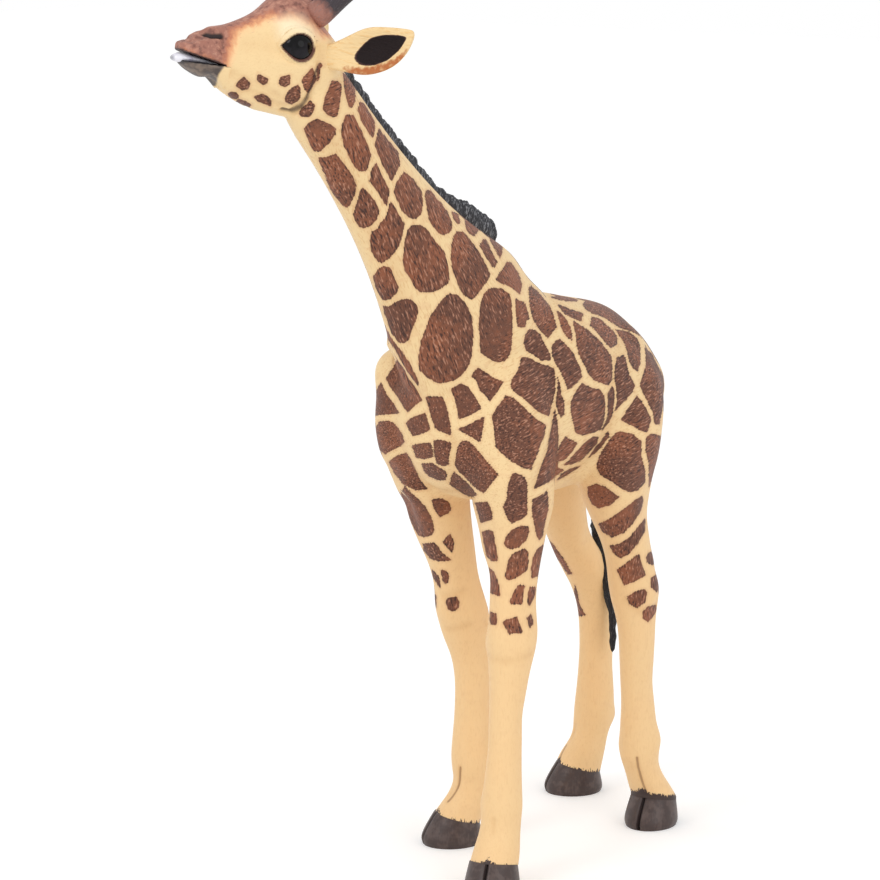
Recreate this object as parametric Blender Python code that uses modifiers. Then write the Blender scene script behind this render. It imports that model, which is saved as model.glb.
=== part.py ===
"""A standing giraffe figure of moulded plastic, in pieces that plug together.

It faces -Y, its left side is +X, and it stands on Z = 0. Lengths are in metres and angles in degrees.
A table whose name ends in SHARES holds shares of the sizes that its heading names.
"""

import math

import bmesh
import bpy
from mathutils import Euler, Matrix, Vector

ACROSS = Vector((1, 0, 0))
BACK = Vector((0, 1, 0))
UP = Vector((0, 0, 1))

# Fits and cutting
SEAM_GAP = 0.0003
OVERRUN = 0.006
PEG_ROOT = 0.002

# Torso
BODY_LENGTH = 0.097
BODY_FRONT_SHARE = 0.52577
BODY_WIDTH = 0.045
BACK_HEIGHT = 0.160
PIN_RADIUS = 0.0020
PIN_LENGTH = 0.0040

# Neck
NECK_LENGTH = 0.080
NECK_WIDTH = 0.029
NECK_DEPTH = 0.040
NECK_LEAN = 45.0
NECK_PEG_RADIUS = 0.0065
NECK_PEG_LENGTH = 0.010

# Mane
MANE_WIDTH = 0.0036
MANE_HEIGHT = 0.0032
MANE_SEAT = 0.0016

# Head
HEAD_LENGTH = 0.0395
HEAD_WIDTH = 0.0205
HEAD_DEPTH = 0.0298
HEAD_BACK = 0.005
HEAD_YAW = 26.0
HEAD_PEG_RADIUS = 0.0042
HEAD_PEG_LENGTH = 0.006
EYE_RADIUS = 0.0042

# Mouth
UPPER_LIP_SLOPE = 19.0
LOWER_LIP_SLOPE = 4.0
TONGUE_SLOPE = 10.5
JAW_PEG_RADIUS = 0.0010
JAW_PEG_LENGTH = 0.0025
JAW_PEG_DROP = 0.0024
TONGUE_WIDTH = 0.0050
TONGUE_THICKNESS = 0.0021
TONGUE_LENGTH = 0.0115

# Ears and horns
EAR_LENGTH = 0.0230
EAR_WIDTH = 0.0108
EAR_DEPTH = 0.0046
EAR_WALL = 0.0012
HORN_LENGTH = 0.0150
HORN_RADIUS = 0.0029

# Legs
LEG_WIDTH = 0.020
LEG_DEPTH = 0.030
LEG_PEG_RADIUS = 0.0030
LEG_PEG_LENGTH = 0.0080

# Hooves
HOOF_LENGTH = 0.0165
HOOF_WIDTH = 0.0140
HOOF_HEIGHT = 0.0072
HOOF_SLOPE = 13.0
HOOF_PEG_RADIUS = 0.0020
HOOF_PEG_LENGTH = 0.0030
CLEFT_WIDTH = 0.0007
CLEFT_DEPTH = 0.0030

# Tail
TAIL_LENGTH = BACK_HEIGHT * 0.375
TAIL_RADIUS = 0.0018
TAIL_CLEARANCE = 0.0007
TUFT_LENGTH = BACK_HEIGHT * 0.2625
TUFT_WALL = 0.0008
HOCK_SHARE = 0.40

# Torso sections: place along BODY_LENGTH, half width in BODY_WIDTH, top and bottom in BACK_HEIGHT
TORSO_SHARES = (
    (0.00, 0.15, 0.800, 0.700),
    (0.05, 0.32, 0.850, 0.640),
    (0.14, 0.42, 0.885, 0.605),
    (0.27, 0.47, 0.915, 0.590),
    (0.42, 0.48, 0.925, 0.585),
    (0.56, 0.48, 0.898, 0.585),
    (0.69, 0.46, 0.885, 0.595),
    (0.79, 0.41, 0.868, 0.615),
    (0.885, 0.31, 0.835, 0.645),
    (0.953, 0.17, 0.790, 0.690),
)

# The hollow inside the torso, and the pins that line up its halves, in the same sizes
HOLLOW_SHARES = (
    (0.18, 0.20, 0.760, 0.690),
    (0.24, 0.34, 0.790, 0.650),
    (0.38, 0.40, 0.815, 0.630),
    (0.54, 0.41, 0.850, 0.625),
    (0.70, 0.39, 0.840, 0.635),
    (0.80, 0.30, 0.815, 0.665),
    (0.84, 0.18, 0.785, 0.700),
)
PIN_SHARES = {"front": (0.09, 0.730), "rear": (0.89, 0.730)}

# Neck sections: place along NECK_LENGTH, half width in NECK_WIDTH, crest and throat in NECK_DEPTH
NECK_SHARES = (
    (-0.36, 0.44, 0.50, 0.54),
    (-0.18, 0.54, 0.58, 0.66),
    (0.00, 0.54, 0.54, 0.635),
    (0.16, 0.45, 0.430, 0.510),
    (0.32, 0.37, 0.345, 0.403),
    (0.50, 0.31, 0.295, 0.314),
    (0.68, 0.275, 0.265, 0.255),
    (0.86, 0.26, 0.255, 0.228),
    (1.00, 0.26, 0.260, 0.220),
    (1.12, 0.24, 0.250, 0.200),
)
NECK_BASE_SHARES = (0.165, 0.893)
NECK_SEAM_SHARE = 0.03
HEAD_SEAM_SHARE = 0.95

# How far the stubs on both sides of a neck seam run past it, in NECK_LENGTH
NECK_LAP_SHARE = 0.22
COLLAR_LAP_SHARE = 0.14

# Mane sections: place along NECK_LENGTH, height in MANE_HEIGHT
MANE_SHARES = (
    (0.05, 0.80),
    (0.13, 1.65),
    (0.27, 1.80),
    (0.37, 1.00),
    (0.60, 0.85),
    (0.80, 0.90),
    (0.98, 0.95),
    (1.07, 0.75),
)

# Head sections: place along HEAD_LENGTH, half width in HEAD_WIDTH, top and bottom in HEAD_DEPTH
HEAD_SHARES = (
    (0.00, 0.20, 0.567, 0.200),
    (0.06, 0.38, 0.683, 0.017),
    (0.16, 0.48, 0.800, -0.083),
    (0.27, 0.50, 0.867, -0.127),
    (0.37, 0.49, 0.850, -0.120),
    (0.47, 0.40, 0.753, -0.087),
    (0.58, 0.32, 0.673, -0.033),
    (0.70, 0.28, 0.603, 0.060),
    (0.81, 0.285, 0.605, 0.165),
    (0.90, 0.26, 0.547, 0.213),
    (0.96, 0.19, 0.507, 0.273),
    (0.99, 0.10, 0.460, 0.330),
)
EYE_SHARES = (0.365, 0.335, 0.452)
EAR_ROOT_SHARES = (0.37, 0.158, 0.355)
EAR_DIRECTION = (0.74, 0.66, 0.16)
EAR_FACING = (0.67, -0.74, 0.05)
HORN_ROOT_SHARES = (0.29, 0.165, 0.690)
HORN_DIRECTION = (0.10, 0.70, 0.72)
MOUTH_CORNER_SHARES = (0.742, 0.311)
JAW_ROOT_SHARE = 0.47

# Tongue sections: place along TONGUE_LENGTH, half width in TONGUE_WIDTH, half thickness in TONGUE_THICKNESS
TONGUE_SHARES = (
    (-0.30, 0.40, 0.14),
    (0.00, 0.45, 0.14),
    (0.25, 0.50, 0.16),
    (0.60, 0.50, 0.36),
    (0.82, 0.46, 0.48),
    (0.94, 0.32, 0.34),
    (1.00, 0.14, 0.12),
)

# Ear sections: place along EAR_LENGTH, half width in EAR_WIDTH, half depth in EAR_DEPTH
EAR_SHARES = (
    (-0.14, 0.20, 0.32),
    (0.04, 0.22, 0.36),
    (0.20, 0.32, 0.46),
    (0.38, 0.47, 0.50),
    (0.56, 0.52, 0.48),
    (0.74, 0.44, 0.42),
    (0.89, 0.27, 0.32),
    (0.98, 0.09, 0.18),
)

# Horn sections: place along HORN_LENGTH, radius in HORN_RADIUS
HORN_SHARES = (
    (-0.20, 0.98),
    (0.05, 1.00),
    (0.35, 0.88),
    (0.62, 0.86),
    (0.85, 0.96),
    (0.97, 0.66),
)

# Leg sections: height in BACK_HEIGHT, half depth in LEG_DEPTH, half width in LEG_WIDTH
FRONT_LEG_SHARES = (
    (0.860, 0.24, 0.25),
    (0.800, 0.40, 0.42),
    (0.700, 0.48, 0.49),
    (0.620, 0.39, 0.48),
    (0.560, 0.30, 0.41),
    (0.500, 0.235, 0.315),
    (0.450, 0.200, 0.265),
    (0.405, 0.226, 0.310),
    (0.375, 0.222, 0.300),
    (0.330, 0.172, 0.235),
    (0.270, 0.158, 0.208),
    (0.200, 0.160, 0.210),
    (0.140, 0.190, 0.250),
    (0.110, 0.188, 0.250),
    (0.080, 0.178, 0.245),
    (0.050, 0.205, 0.285),
    (0.010, 0.230, 0.320),
)
REAR_LEG_SHARES = (
    (0.860, 0.26, 0.22),
    (0.800, 0.48, 0.38),
    (0.720, 0.54, 0.48),
    (0.640, 0.48, 0.50),
    (0.570, 0.35, 0.43),
    (0.510, 0.250, 0.315),
    (0.460, 0.208, 0.262),
    (0.415, 0.235, 0.280),
    (0.365, 0.200, 0.250),
    (0.300, 0.162, 0.212),
    (0.200, 0.162, 0.212),
    (0.150, 0.190, 0.255),
    (0.115, 0.178, 0.240),
    (0.085, 0.165, 0.225),
    (0.050, 0.200, 0.280),
    (0.010, 0.225, 0.315),
)
LEG_SEAM_SHARE = 0.555
LEG_LAP_SHARE = 0.09

# Leg centre lines: height in BACK_HEIGHT, place outwards in BODY_WIDTH and backwards in BODY_LENGTH
LEG_LINE_SHARES = {
    "front_left": (
        (0.00, 0.330, -0.412),
        (0.30, 0.320, -0.370),
        (0.40, 0.315, -0.342),
        (0.60, 0.310, -0.345),
        (0.76, 0.300, -0.335),
        (0.86, 0.210, -0.300),
    ),
    "front_right": (
        (0.00, 0.335, -0.180),
        (0.09, 0.315, -0.158),
        (0.30, 0.310, -0.148),
        (0.40, 0.310, -0.185),
        (0.50, 0.320, -0.255),
        (0.60, 0.330, -0.320),
        (0.80, 0.330, -0.355),
        (0.86, 0.230, -0.320),
    ),
    "rear_left": (
        (0.00, 0.360, 0.255),
        (0.12, 0.360, 0.235),
        (0.30, 0.360, 0.213),
        (0.40, 0.360, 0.208),
        (0.50, 0.345, 0.145),
        (0.60, 0.315, 0.107),
        (0.76, 0.275, 0.155),
        (0.86, 0.190, 0.190),
    ),
    "rear_right": (
        (0.00, 0.360, 0.405),
        (0.05, 0.355, 0.425),
        (0.09, 0.350, 0.450),
        (0.14, 0.350, 0.470),
        (0.30, 0.355, 0.482),
        (0.39, 0.352, 0.412),
        (0.50, 0.345, 0.292),
        (0.60, 0.330, 0.235),
        (0.76, 0.285, 0.213),
        (0.86, 0.190, 0.200),
    ),
}

# Feet: place outwards in BODY_WIDTH and backwards in BODY_LENGTH, and the outward turn
FEET = {
    "front_left": (0.360, -0.457, 20.0),
    "front_right": (0.355, -0.196, 36.0),
    "rear_left": (0.364, 0.272, 8.0),
    "rear_right": (0.395, 0.397, 38.0),
}

# Hoof sections: height in HOOF_HEIGHT, half length in HOOF_LENGTH, half width in HOOF_WIDTH, shift forwards
HOOF_SHARES = (
    (-0.45, 0.49, 0.49, 0.000),
    (0.00, 0.49, 0.49, 0.000),
    (0.25, 0.50, 0.50, 0.000),
    (0.60, 0.46, 0.475, -0.020),
    (1.00, 0.40, 0.43, -0.045),
)

# Tail sections: fall and swing backwards in TAIL_LENGTH, sideways in the reach beside the hock, radius in TAIL_RADIUS
TAIL_ROOT_SHARES = (0.925, 0.825)
TAIL_SHARES = (
    (0.02, -0.070, 0.000, 1.25),
    (0.04, 0.030, 0.000, 1.20),
    (0.10, 0.100, 0.000, 1.05),
    (0.25, 0.125, -0.254, 0.92),
    (0.55, 0.110, -0.931, 0.80),
    (0.86, 0.080, -1.608, 0.74),
    (0.92, 0.075, -1.650, 0.70),
)

# Tuft sections: the same in TUFT_LENGTH, radius in TAIL_RADIUS plus TUFT_WALL
TUFT_SHARES = (
    (0.00, 0.000, 0.000, 0.62),
    (0.08, 0.000, -0.059, 0.92),
    (0.19, -0.010, -0.030, 1.00),
    (0.28, -0.010, 0.326, 0.95),
    (0.42, -0.020, 0.563, 0.90),
    (0.60, -0.025, 0.592, 0.80),
    (0.82, -0.030, 0.563, 0.56),
    (0.98, -0.030, 0.503, 0.22),
)


# Scene and frames


def collection(name):
    made = bpy.data.collections.new(name)
    bpy.context.scene.collection.children.link(made)
    return made


def place_object(made, parent, helper):
    """Puts an object with the pieces, or with the cutters where it is a helper."""
    (cutters if helper else pieces).objects.link(made)
    made.parent = parent
    if helper:
        made.hide_render = True
        made.display_type = "WIRE"
    return made


def frame(name, parent, place, turn=(0, 0, 0)):
    """An empty that the pieces beyond it hang from."""
    made = place_object(bpy.data.objects.new(name, None), parent, False)
    made.location = place
    made.rotation_euler = Euler([math.radians(angle) for angle in turn])
    return made


def mesh_object(name, shape, parent, helper):
    """An object from a bmesh, with its faces turned outwards."""
    bmesh.ops.recalc_face_normals(shape, faces=shape.faces)
    mesh = bpy.data.meshes.new(name)
    shape.to_mesh(mesh)
    shape.free()
    return place_object(bpy.data.objects.new(name, mesh), parent, helper)


# Shapes


def ring(centre, across, upward, half_width, rise, drop, sides):
    """Points round a section that reaches half_width each way, rise upwards and drop downwards."""
    swell = 4 / (3 + math.cos(math.tau / sides))
    points = []
    for step in range(sides):
        turn = math.tau * (step + 0.5) / sides
        height = rise if math.sin(turn) > 0 else drop
        sideways = across * (half_width * math.cos(turn))
        points.append(centre + (sideways + upward * (height * math.sin(turn))) * swell)
    return points


def loft(name, rings, parent, helper=False):
    """A soft closed skin through rings that have the same number of points."""
    shape = bmesh.new()
    rows = [[shape.verts.new(point) for point in points] for points in rings]
    for low, high in zip(rows, rows[1:]):
        for step in range(len(low)):
            ahead = (step + 1) % len(low)
            shape.faces.new((low[step], low[ahead], high[ahead], high[step]))
    shape.faces.new(rows[0])
    shape.faces.new(rows[-1])
    made = mesh_object(name, shape, parent, helper)
    made.data.shade_smooth()
    soften = made.modifiers.new("soften", "SUBSURF")
    soften.levels = 1
    soften.render_levels = soften.levels
    return made


def bar(name, radius, start, end, parent, sides=12):
    """A round cutter between two points."""
    shape = bmesh.new()
    span = end - start
    turn = span.to_track_quat("Z", "Y").to_matrix().to_4x4()
    bmesh.ops.create_cone(
        shape,
        cap_ends=True,
        segments=sides,
        radius1=radius,
        radius2=radius,
        depth=span.length,
        matrix=Matrix.Translation((start + end) / 2) @ turn,
    )
    return mesh_object(name, shape, parent, True)


def block(name, low, high, parent):
    """A box cutter between two corners."""
    shape = bmesh.new()
    place = Matrix.Translation((low + high) / 2) @ Matrix.Diagonal((*(high - low), 1.0))
    bmesh.ops.create_cube(shape, size=1, matrix=place)
    return mesh_object(name, shape, parent, True)


def ball(name, radius, centre, parent, helper=False):
    shape = bmesh.new()
    place = Matrix.Translation(centre)
    bmesh.ops.create_uvsphere(shape, u_segments=16, v_segments=8, radius=radius, matrix=place)
    made = mesh_object(name, shape, parent, helper)
    made.data.shade_smooth()
    return made


def half_space(name, level, upwards, parent):
    """A cutter that fills all above a level of its frame, or all below it."""
    reach = Vector((1, 1, 1)) * BACK_HEIGHT
    low = Vector((-reach.x, -reach.y, level if upwards else level - reach.z))
    return block(name, low, low + Vector((reach.x * 2, reach.y * 2, reach.z)), parent)


def combine(piece, others, operation, name):
    """One Boolean of a piece with all the shapes of a list."""
    group = bpy.data.collections.new(piece.name + "_" + name)
    for other in others:
        group.objects.link(other)
    boolean = piece.modifiers.new(name, "BOOLEAN")
    boolean.operation = operation
    boolean.solver = "EXACT"
    boolean.operand_type = "COLLECTION"
    boolean.collection = group


def join(piece, *shapes):
    joined.setdefault(piece, []).extend(shapes)


def cut(piece, *shapes):
    cuts.setdefault(piece, []).extend(shapes)


def plug(name, owner, hosts, start, direction, radius, length, parent):
    """A round peg on its owner, and a socket for it in each host."""
    towards = direction.normalized()
    root = start - towards * PEG_ROOT
    peg = bar(name + "_peg", radius, root, start + towards * length, parent)
    pegs.setdefault(owner, []).append(peg)
    mouth = start - towards * OVERRUN
    floor = start + towards * (length + SEAM_GAP)
    socket = bar(name + "_socket", radius + SEAM_GAP, mouth, floor, parent)
    for host in hosts:
        cut(host, socket)


def row_at(rows, share):
    """The row of a table at any share along it, on straight lines between its rows."""
    share = min(max(share, rows[0][0]), rows[-1][0])
    for low, high in zip(rows, rows[1:]):
        if share <= high[0]:
            part = (share - low[0]) / (high[0] - low[0])
            return [a + (b - a) * part for a, b in zip(low, high)]
    return list(rows[-1])


# Sections


def torso_ring(row, sides=12):
    along, half_width, top, bottom = row
    rise = (top - bottom) * BACK_HEIGHT / 2
    centre = Vector((0, (along - BODY_FRONT_SHARE) * BODY_LENGTH, (top + bottom) * BACK_HEIGHT / 2))
    return ring(centre, ACROSS, UP, half_width * BODY_WIDTH, rise, rise, sides)


def neck_ring(row):
    along, half_width, crest, throat = row
    centre = UP * (along * NECK_LENGTH)
    return ring(
        centre, ACROSS, BACK, half_width * NECK_WIDTH, crest * NECK_DEPTH, throat * NECK_DEPTH, 10
    )


def mane_ring(row, grow=0.0):
    along, height = row
    crest_share = row_at(NECK_SHARES, along)[2]
    crest = UP * (along * NECK_LENGTH) + BACK * (crest_share * NECK_DEPTH)
    half_width = MANE_WIDTH / 2 + grow
    return ring(crest, ACROSS, BACK, half_width, height * MANE_HEIGHT + grow, MANE_SEAT + grow, 6)


def head_ring(row):
    along, half_width, top, bottom = row
    rise = (top - bottom) * HEAD_DEPTH / 2
    centre = head_place((0, along, (top + bottom) / 2))
    return ring(centre, ACROSS, UP, half_width * HEAD_WIDTH, rise, rise, 10)


def head_place(shares):
    """A point of the head: across in HEAD_WIDTH, along in HEAD_LENGTH, height in HEAD_DEPTH."""
    across, along, height = shares
    return Vector((across * HEAD_WIDTH, HEAD_BACK - along * HEAD_LENGTH, height * HEAD_DEPTH))


def leg_ring(leg, height):
    """One level section of a leg, turned with the foot towards the floor."""
    side = 1 if leg.endswith("left") else -1
    sections = FRONT_LEG_SHARES if leg.startswith("front") else REAR_LEG_SHARES
    _, half_depth, half_width = row_at(sections[::-1], height)
    _, out, back = row_at(LEG_LINE_SHARES[leg], height)
    centre = Vector((side * out * BODY_WIDTH, back * BODY_LENGTH, height * BACK_HEIGHT))
    turn = side * FEET[leg][2] * min(max(1 - height / LEG_SEAM_SHARE, 0), 1)
    spin = Matrix.Rotation(math.radians(turn), 3, "Z")
    half = half_depth * LEG_DEPTH
    return ring(centre, spin @ ACROSS, spin @ BACK, half_width * LEG_WIDTH, half, half, 8)


def leg_loft(name, leg, top, bottom, helper=False):
    """A leg, or a stretch of it, between two heights."""
    sections = FRONT_LEG_SHARES if leg.startswith("front") else REAR_LEG_SHARES
    heights = [row[0] for row in sections if bottom <= row[0] <= top]
    return loft(name, [leg_ring(leg, height) for height in heights], figure, helper)


def hoof_ring(row):
    height, half_length, half_width, shift = row
    tilt = Matrix.Rotation(math.radians(-HOOF_SLOPE * max(height, 0)), 3, "X")
    centre = Vector((0, -shift * HOOF_LENGTH, height * (HOOF_HEIGHT - SEAM_GAP)))
    half = half_length * HOOF_LENGTH
    return ring(centre, ACROSS, tilt @ BACK, half_width * HOOF_WIDTH, half, half, 10)


def ear_ring(row, side, grow=0.0):
    along, half_width, half_depth = row
    mirror = Vector((side, 1, 1))
    reach = Vector(EAR_DIRECTION).normalized() * mirror
    facing = Vector(EAR_FACING).normalized() * mirror
    centre = head_place(EAR_ROOT_SHARES) * mirror + reach * (along * EAR_LENGTH)
    half = half_depth * EAR_DEPTH + grow
    return ring(centre, reach.cross(facing), facing, half_width * EAR_WIDTH + grow, half, half, 8)


def horn_ring(row, side, grow=0.0):
    along, radius = row
    mirror = Vector((side, 1, 1))
    reach = Vector(HORN_DIRECTION).normalized() * mirror
    centre = head_place(HORN_ROOT_SHARES) * mirror + reach * (along * HORN_LENGTH)
    size = radius * HORN_RADIUS + grow
    return ring(centre, ACROSS, reach.cross(ACROSS), size, size, size, 6)


def tongue_ring(row, grow=0.0):
    """A section of the tongue in the frame of the mouth corner."""
    along, half_width, half_thickness = row
    slope = Matrix.Rotation(math.radians(-TONGUE_SLOPE), 3, "X")
    centre = slope @ BACK * (-along * TONGUE_LENGTH)
    thick = half_thickness * TONGUE_THICKNESS + grow
    return ring(centre, ACROSS, slope @ UP, half_width * TONGUE_WIDTH + grow, thick, thick, 8)


def hanging(root, row, length):
    """A point of the tail or its tuft: fall, swing backwards and swing sideways from a root."""
    fall, swing, side, _ = row
    return root + Vector((side * tail_reach, swing * length, -fall * length))


def tube_rings(points, radii, grow=0.0, sides=6):
    """Round sections along a bent line, each square to the line."""
    rings = []
    for step, (point, radius) in enumerate(zip(points, radii)):
        along = points[min(step + 1, len(points) - 1)] - points[max(step - 1, 0)]
        upward = along.cross(ACROSS).normalized()
        across = upward.cross(along).normalized()
        size = radius + grow
        rings.append(ring(point, across, upward, size, size, size, sides))
    return rings


def tail_rings(rows, grow=0.0):
    points = [hanging(tail_root, row, TAIL_LENGTH) for row in rows]
    return tube_rings(points, [row[3] * TAIL_RADIUS for row in rows], grow)


# Plastics


def material(name, colour, roughness):
    made = bpy.data.materials.new(name)
    made.use_nodes = True
    shader = made.node_tree.nodes["Principled BSDF"]
    shader.inputs["Base Color"].default_value = (*colour, 1.0)
    shader.inputs["Roughness"].default_value = roughness
    return made


def paint(made, *objects):
    for obj in objects:
        obj.data.materials.append(made)


for old in list(bpy.data.objects):
    bpy.data.objects.remove(old)
pieces = collection("giraffe_figure")
cutters = collection("cutters")
joined, cuts, pegs = {}, {}, {}

coat = material("coat", (0.56, 0.30, 0.15), 0.5)
stocking = material("stocking", (0.85, 0.60, 0.31), 0.5)
charcoal = material("charcoal", (0.045, 0.045, 0.048), 0.6)
horn_brown = material("horn_brown", (0.10, 0.06, 0.05), 0.5)
hoof_brown = material("hoof_brown", (0.075, 0.055, 0.058), 0.45)
eye_black = material("eye_black", (0.01, 0.01, 0.01), 0.15)
tongue_pale = material("tongue_pale", (0.62, 0.60, 0.72), 0.4)
chin_grey = material("chin_grey", (0.12, 0.11, 0.11), 0.5)

figure = frame("figure", None, (0, 0, 0))

# Neck frame: +Z runs up the neck and +Y points to its crest
base_along, base_height = NECK_BASE_SHARES
neck_base = Vector((0, (base_along - BODY_FRONT_SHARE) * BODY_LENGTH, base_height * BACK_HEIGHT))
neck_frame = frame("neck_frame", figure, neck_base, (NECK_LEAN, 0, 0))
neck_seam = NECK_SEAM_SHARE * NECK_LENGTH
head_seam = HEAD_SEAM_SHARE * NECK_LENGTH

# Head frame: level with the floor, turned to the figure's right
head_base = neck_base + neck_frame.rotation_euler.to_matrix() @ (UP * NECK_LENGTH)
head_frame = frame("head_frame", figure, head_base, (0, 0, -HEAD_YAW))

# Torso: two hollow halves with stubs for the neck and the legs
leg_seam = LEG_SEAM_SHARE * BACK_HEIGHT
stub_rows = [row for row in NECK_SHARES if row[0] < NECK_SEAM_SHARE + NECK_LAP_SHARE]
neck_stub = loft("neck_stub", [neck_ring(row) for row in stub_rows], neck_frame, True)
above_neck_seam = half_space("above_neck_seam", neck_seam, True, neck_frame)
below_neck_seam = half_space("below_neck_seam", neck_seam + SEAM_GAP, False, neck_frame)
above_leg_seam = half_space("above_leg_seam", leg_seam - SEAM_GAP, True, figure)
below_leg_seam = half_space("below_leg_seam", leg_seam, False, figure)
hollow = loft("hollow", [torso_ring(row, 8) for row in HOLLOW_SHARES], figure, True)

torso = {}
for side, name in ((1, "left"), (-1, "right")):
    shell = loft("torso_" + name + "_shell", [torso_ring(row) for row in TORSO_SHARES], figure)
    join(shell, neck_stub)
    for leg in LEG_LINE_SHARES:
        if leg.endswith(name):
            stub = leg_loft(leg + "_stub", leg, 1, LEG_SEAM_SHARE - LEG_LAP_SHARE, True)
            join(shell, stub)
    cut(shell, above_neck_seam)
    cut(shell, below_leg_seam)
    cut(shell, hollow)
    torso[name] = shell
paint(coat, *torso.values())

# Neck
neck_rows = [row for row in NECK_SHARES if row[0] > NECK_SEAM_SHARE - NECK_LAP_SHARE]
neck = loft("neck", [neck_ring(row) for row in neck_rows], neck_frame)
above_head_seam = half_space("above_head_seam", head_seam, True, neck_frame)
below_head_seam = half_space("below_head_seam", head_seam + SEAM_GAP, False, neck_frame)
cut(neck, below_neck_seam)
cut(neck, above_head_seam)
neck_foot = UP * (neck_seam + SEAM_GAP)
plug("neck", neck, torso.values(), neck_foot, -UP, NECK_PEG_RADIUS, NECK_PEG_LENGTH, neck_frame)
paint(coat, neck)

# Mane: a strip in a groove along the crest
mane = loft("mane", [mane_ring(row) for row in MANE_SHARES], neck_frame)
margin = SEAM_GAP / NECK_LENGTH
first, *between, last = MANE_SHARES
groove_rows = [(first[0] - margin, first[1]), *between, (last[0] + margin, last[1])]
groove = loft("mane_groove", [mane_ring(row, SEAM_GAP) for row in groove_rows], neck_frame, True)
cut(neck, groove)
paint(charcoal, mane)

# Head and lower jaw, parted along the mouth
collar_rows = [row for row in NECK_SHARES if row[0] > HEAD_SEAM_SHARE - COLLAR_LAP_SHARE]
collar = loft("collar", [neck_ring(row) for row in collar_rows], neck_frame, True)
head = loft("head", [head_ring(row) for row in HEAD_SHARES], head_frame)
join(head, collar)
cut(head, below_head_seam)
cut(head, groove)
neck_top = UP * head_seam
plug("head", neck, [head], neck_top, UP, HEAD_PEG_RADIUS, HEAD_PEG_LENGTH, neck_frame)

corner = head_place((0, *MOUTH_CORNER_SHARES))
mouth = frame("mouth", head_frame, corner)
upper_lip = frame("upper_lip", mouth, (0, 0, 0), (-UPPER_LIP_SLOPE, 0, 0))
lower_lip = frame("lower_lip", mouth, (0, 0, 0), (-LOWER_LIP_SLOPE, 0, 0))
jaw_low = Vector((-1, -1, -1)) * HEAD_LENGTH
jaw_space = block("jaw_space", jaw_low, Vector((HEAD_LENGTH, 0, 0)), upper_lip)
jaw_box = block("jaw_box", jaw_low, Vector((HEAD_LENGTH, -SEAM_GAP, -SEAM_GAP)), lower_lip)
jaw_back = block("jaw_back", jaw_low, Vector((HEAD_LENGTH, 0, 0)), lower_lip)
cut(head, jaw_space)
cut(head, jaw_back)
jaw_rows = [row for row in HEAD_SHARES if row[0] >= JAW_ROOT_SHARE]
lower_jaw = loft("lower_jaw", [head_ring(row) for row in jaw_rows], head_frame)
combine(lower_jaw, [jaw_box], "INTERSECT", "front")
jaw_peg = Vector((0, -SEAM_GAP, -JAW_PEG_DROP))
plug("jaw", lower_jaw, [head], jaw_peg, BACK, JAW_PEG_RADIUS, JAW_PEG_LENGTH, lower_lip)
paint(coat, head)
paint(chin_grey, lower_jaw)

# Tongue: rooted behind the mouth corner, with its tip past the lips
tongue = loft("tongue", [tongue_ring(row) for row in TONGUE_SHARES], mouth)
root_row = (TONGUE_SHARES[0][0] - SEAM_GAP / TONGUE_LENGTH, *TONGUE_SHARES[0][1:])
slot_rows = [root_row, *TONGUE_SHARES[1:-1]]
slot = loft("tongue_slot", [tongue_ring(row, SEAM_GAP) for row in slot_rows], mouth, True)
cut(head, slot)
cut(lower_jaw, slot)
paint(tongue_pale, tongue)

# Eyes, ears and horns, each seated in a socket of the head
for side, name in ((1, "left"), (-1, "right")):
    across, along, height = EYE_SHARES
    eye_place = head_place((side * across, along, height))
    eye = ball("eye_" + name, EYE_RADIUS, eye_place, head_frame)
    seat = ball("eye_seat_" + name, EYE_RADIUS + SEAM_GAP, eye_place, head_frame, True)
    cut(head, seat)
    paint(eye_black, eye)

    ear = loft("ear_" + name, [ear_ring(row, side) for row in EAR_SHARES], head_frame)
    root_row = (EAR_SHARES[0][0] - SEAM_GAP / EAR_LENGTH, *EAR_SHARES[0][1:])
    seat_rows = [root_row, *EAR_SHARES[1:3]]
    ear_seat = loft(
        "ear_seat_" + name, [ear_ring(row, side, SEAM_GAP) for row in seat_rows], head_frame, True
    )
    cut(head, ear_seat)
    facing = Vector(EAR_FACING).normalized() * Vector((side, 1, 1)) * (EAR_DEPTH / 2)
    bowl_rings = [ear_ring(row, side, -EAR_WALL) for row in EAR_SHARES[2:-1]]
    bowl_rings = [[point + facing for point in points] for points in bowl_rings]
    bowl = loft("ear_bowl_" + name, bowl_rings, head_frame, True)
    cut(ear, bowl)
    paint(coat, ear)

    horn = loft("ossicone_" + name, [horn_ring(row, side) for row in HORN_SHARES], head_frame)
    root_row = (HORN_SHARES[0][0] - SEAM_GAP / HORN_LENGTH, HORN_SHARES[0][1])
    seat_rows = [root_row, *HORN_SHARES[1:3]]
    horn_seat = loft(
        "ossicone_seat_" + name, [horn_ring(row, side, SEAM_GAP) for row in seat_rows], head_frame, True
    )
    cut(head, horn_seat)
    paint(horn_brown, horn)

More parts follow.
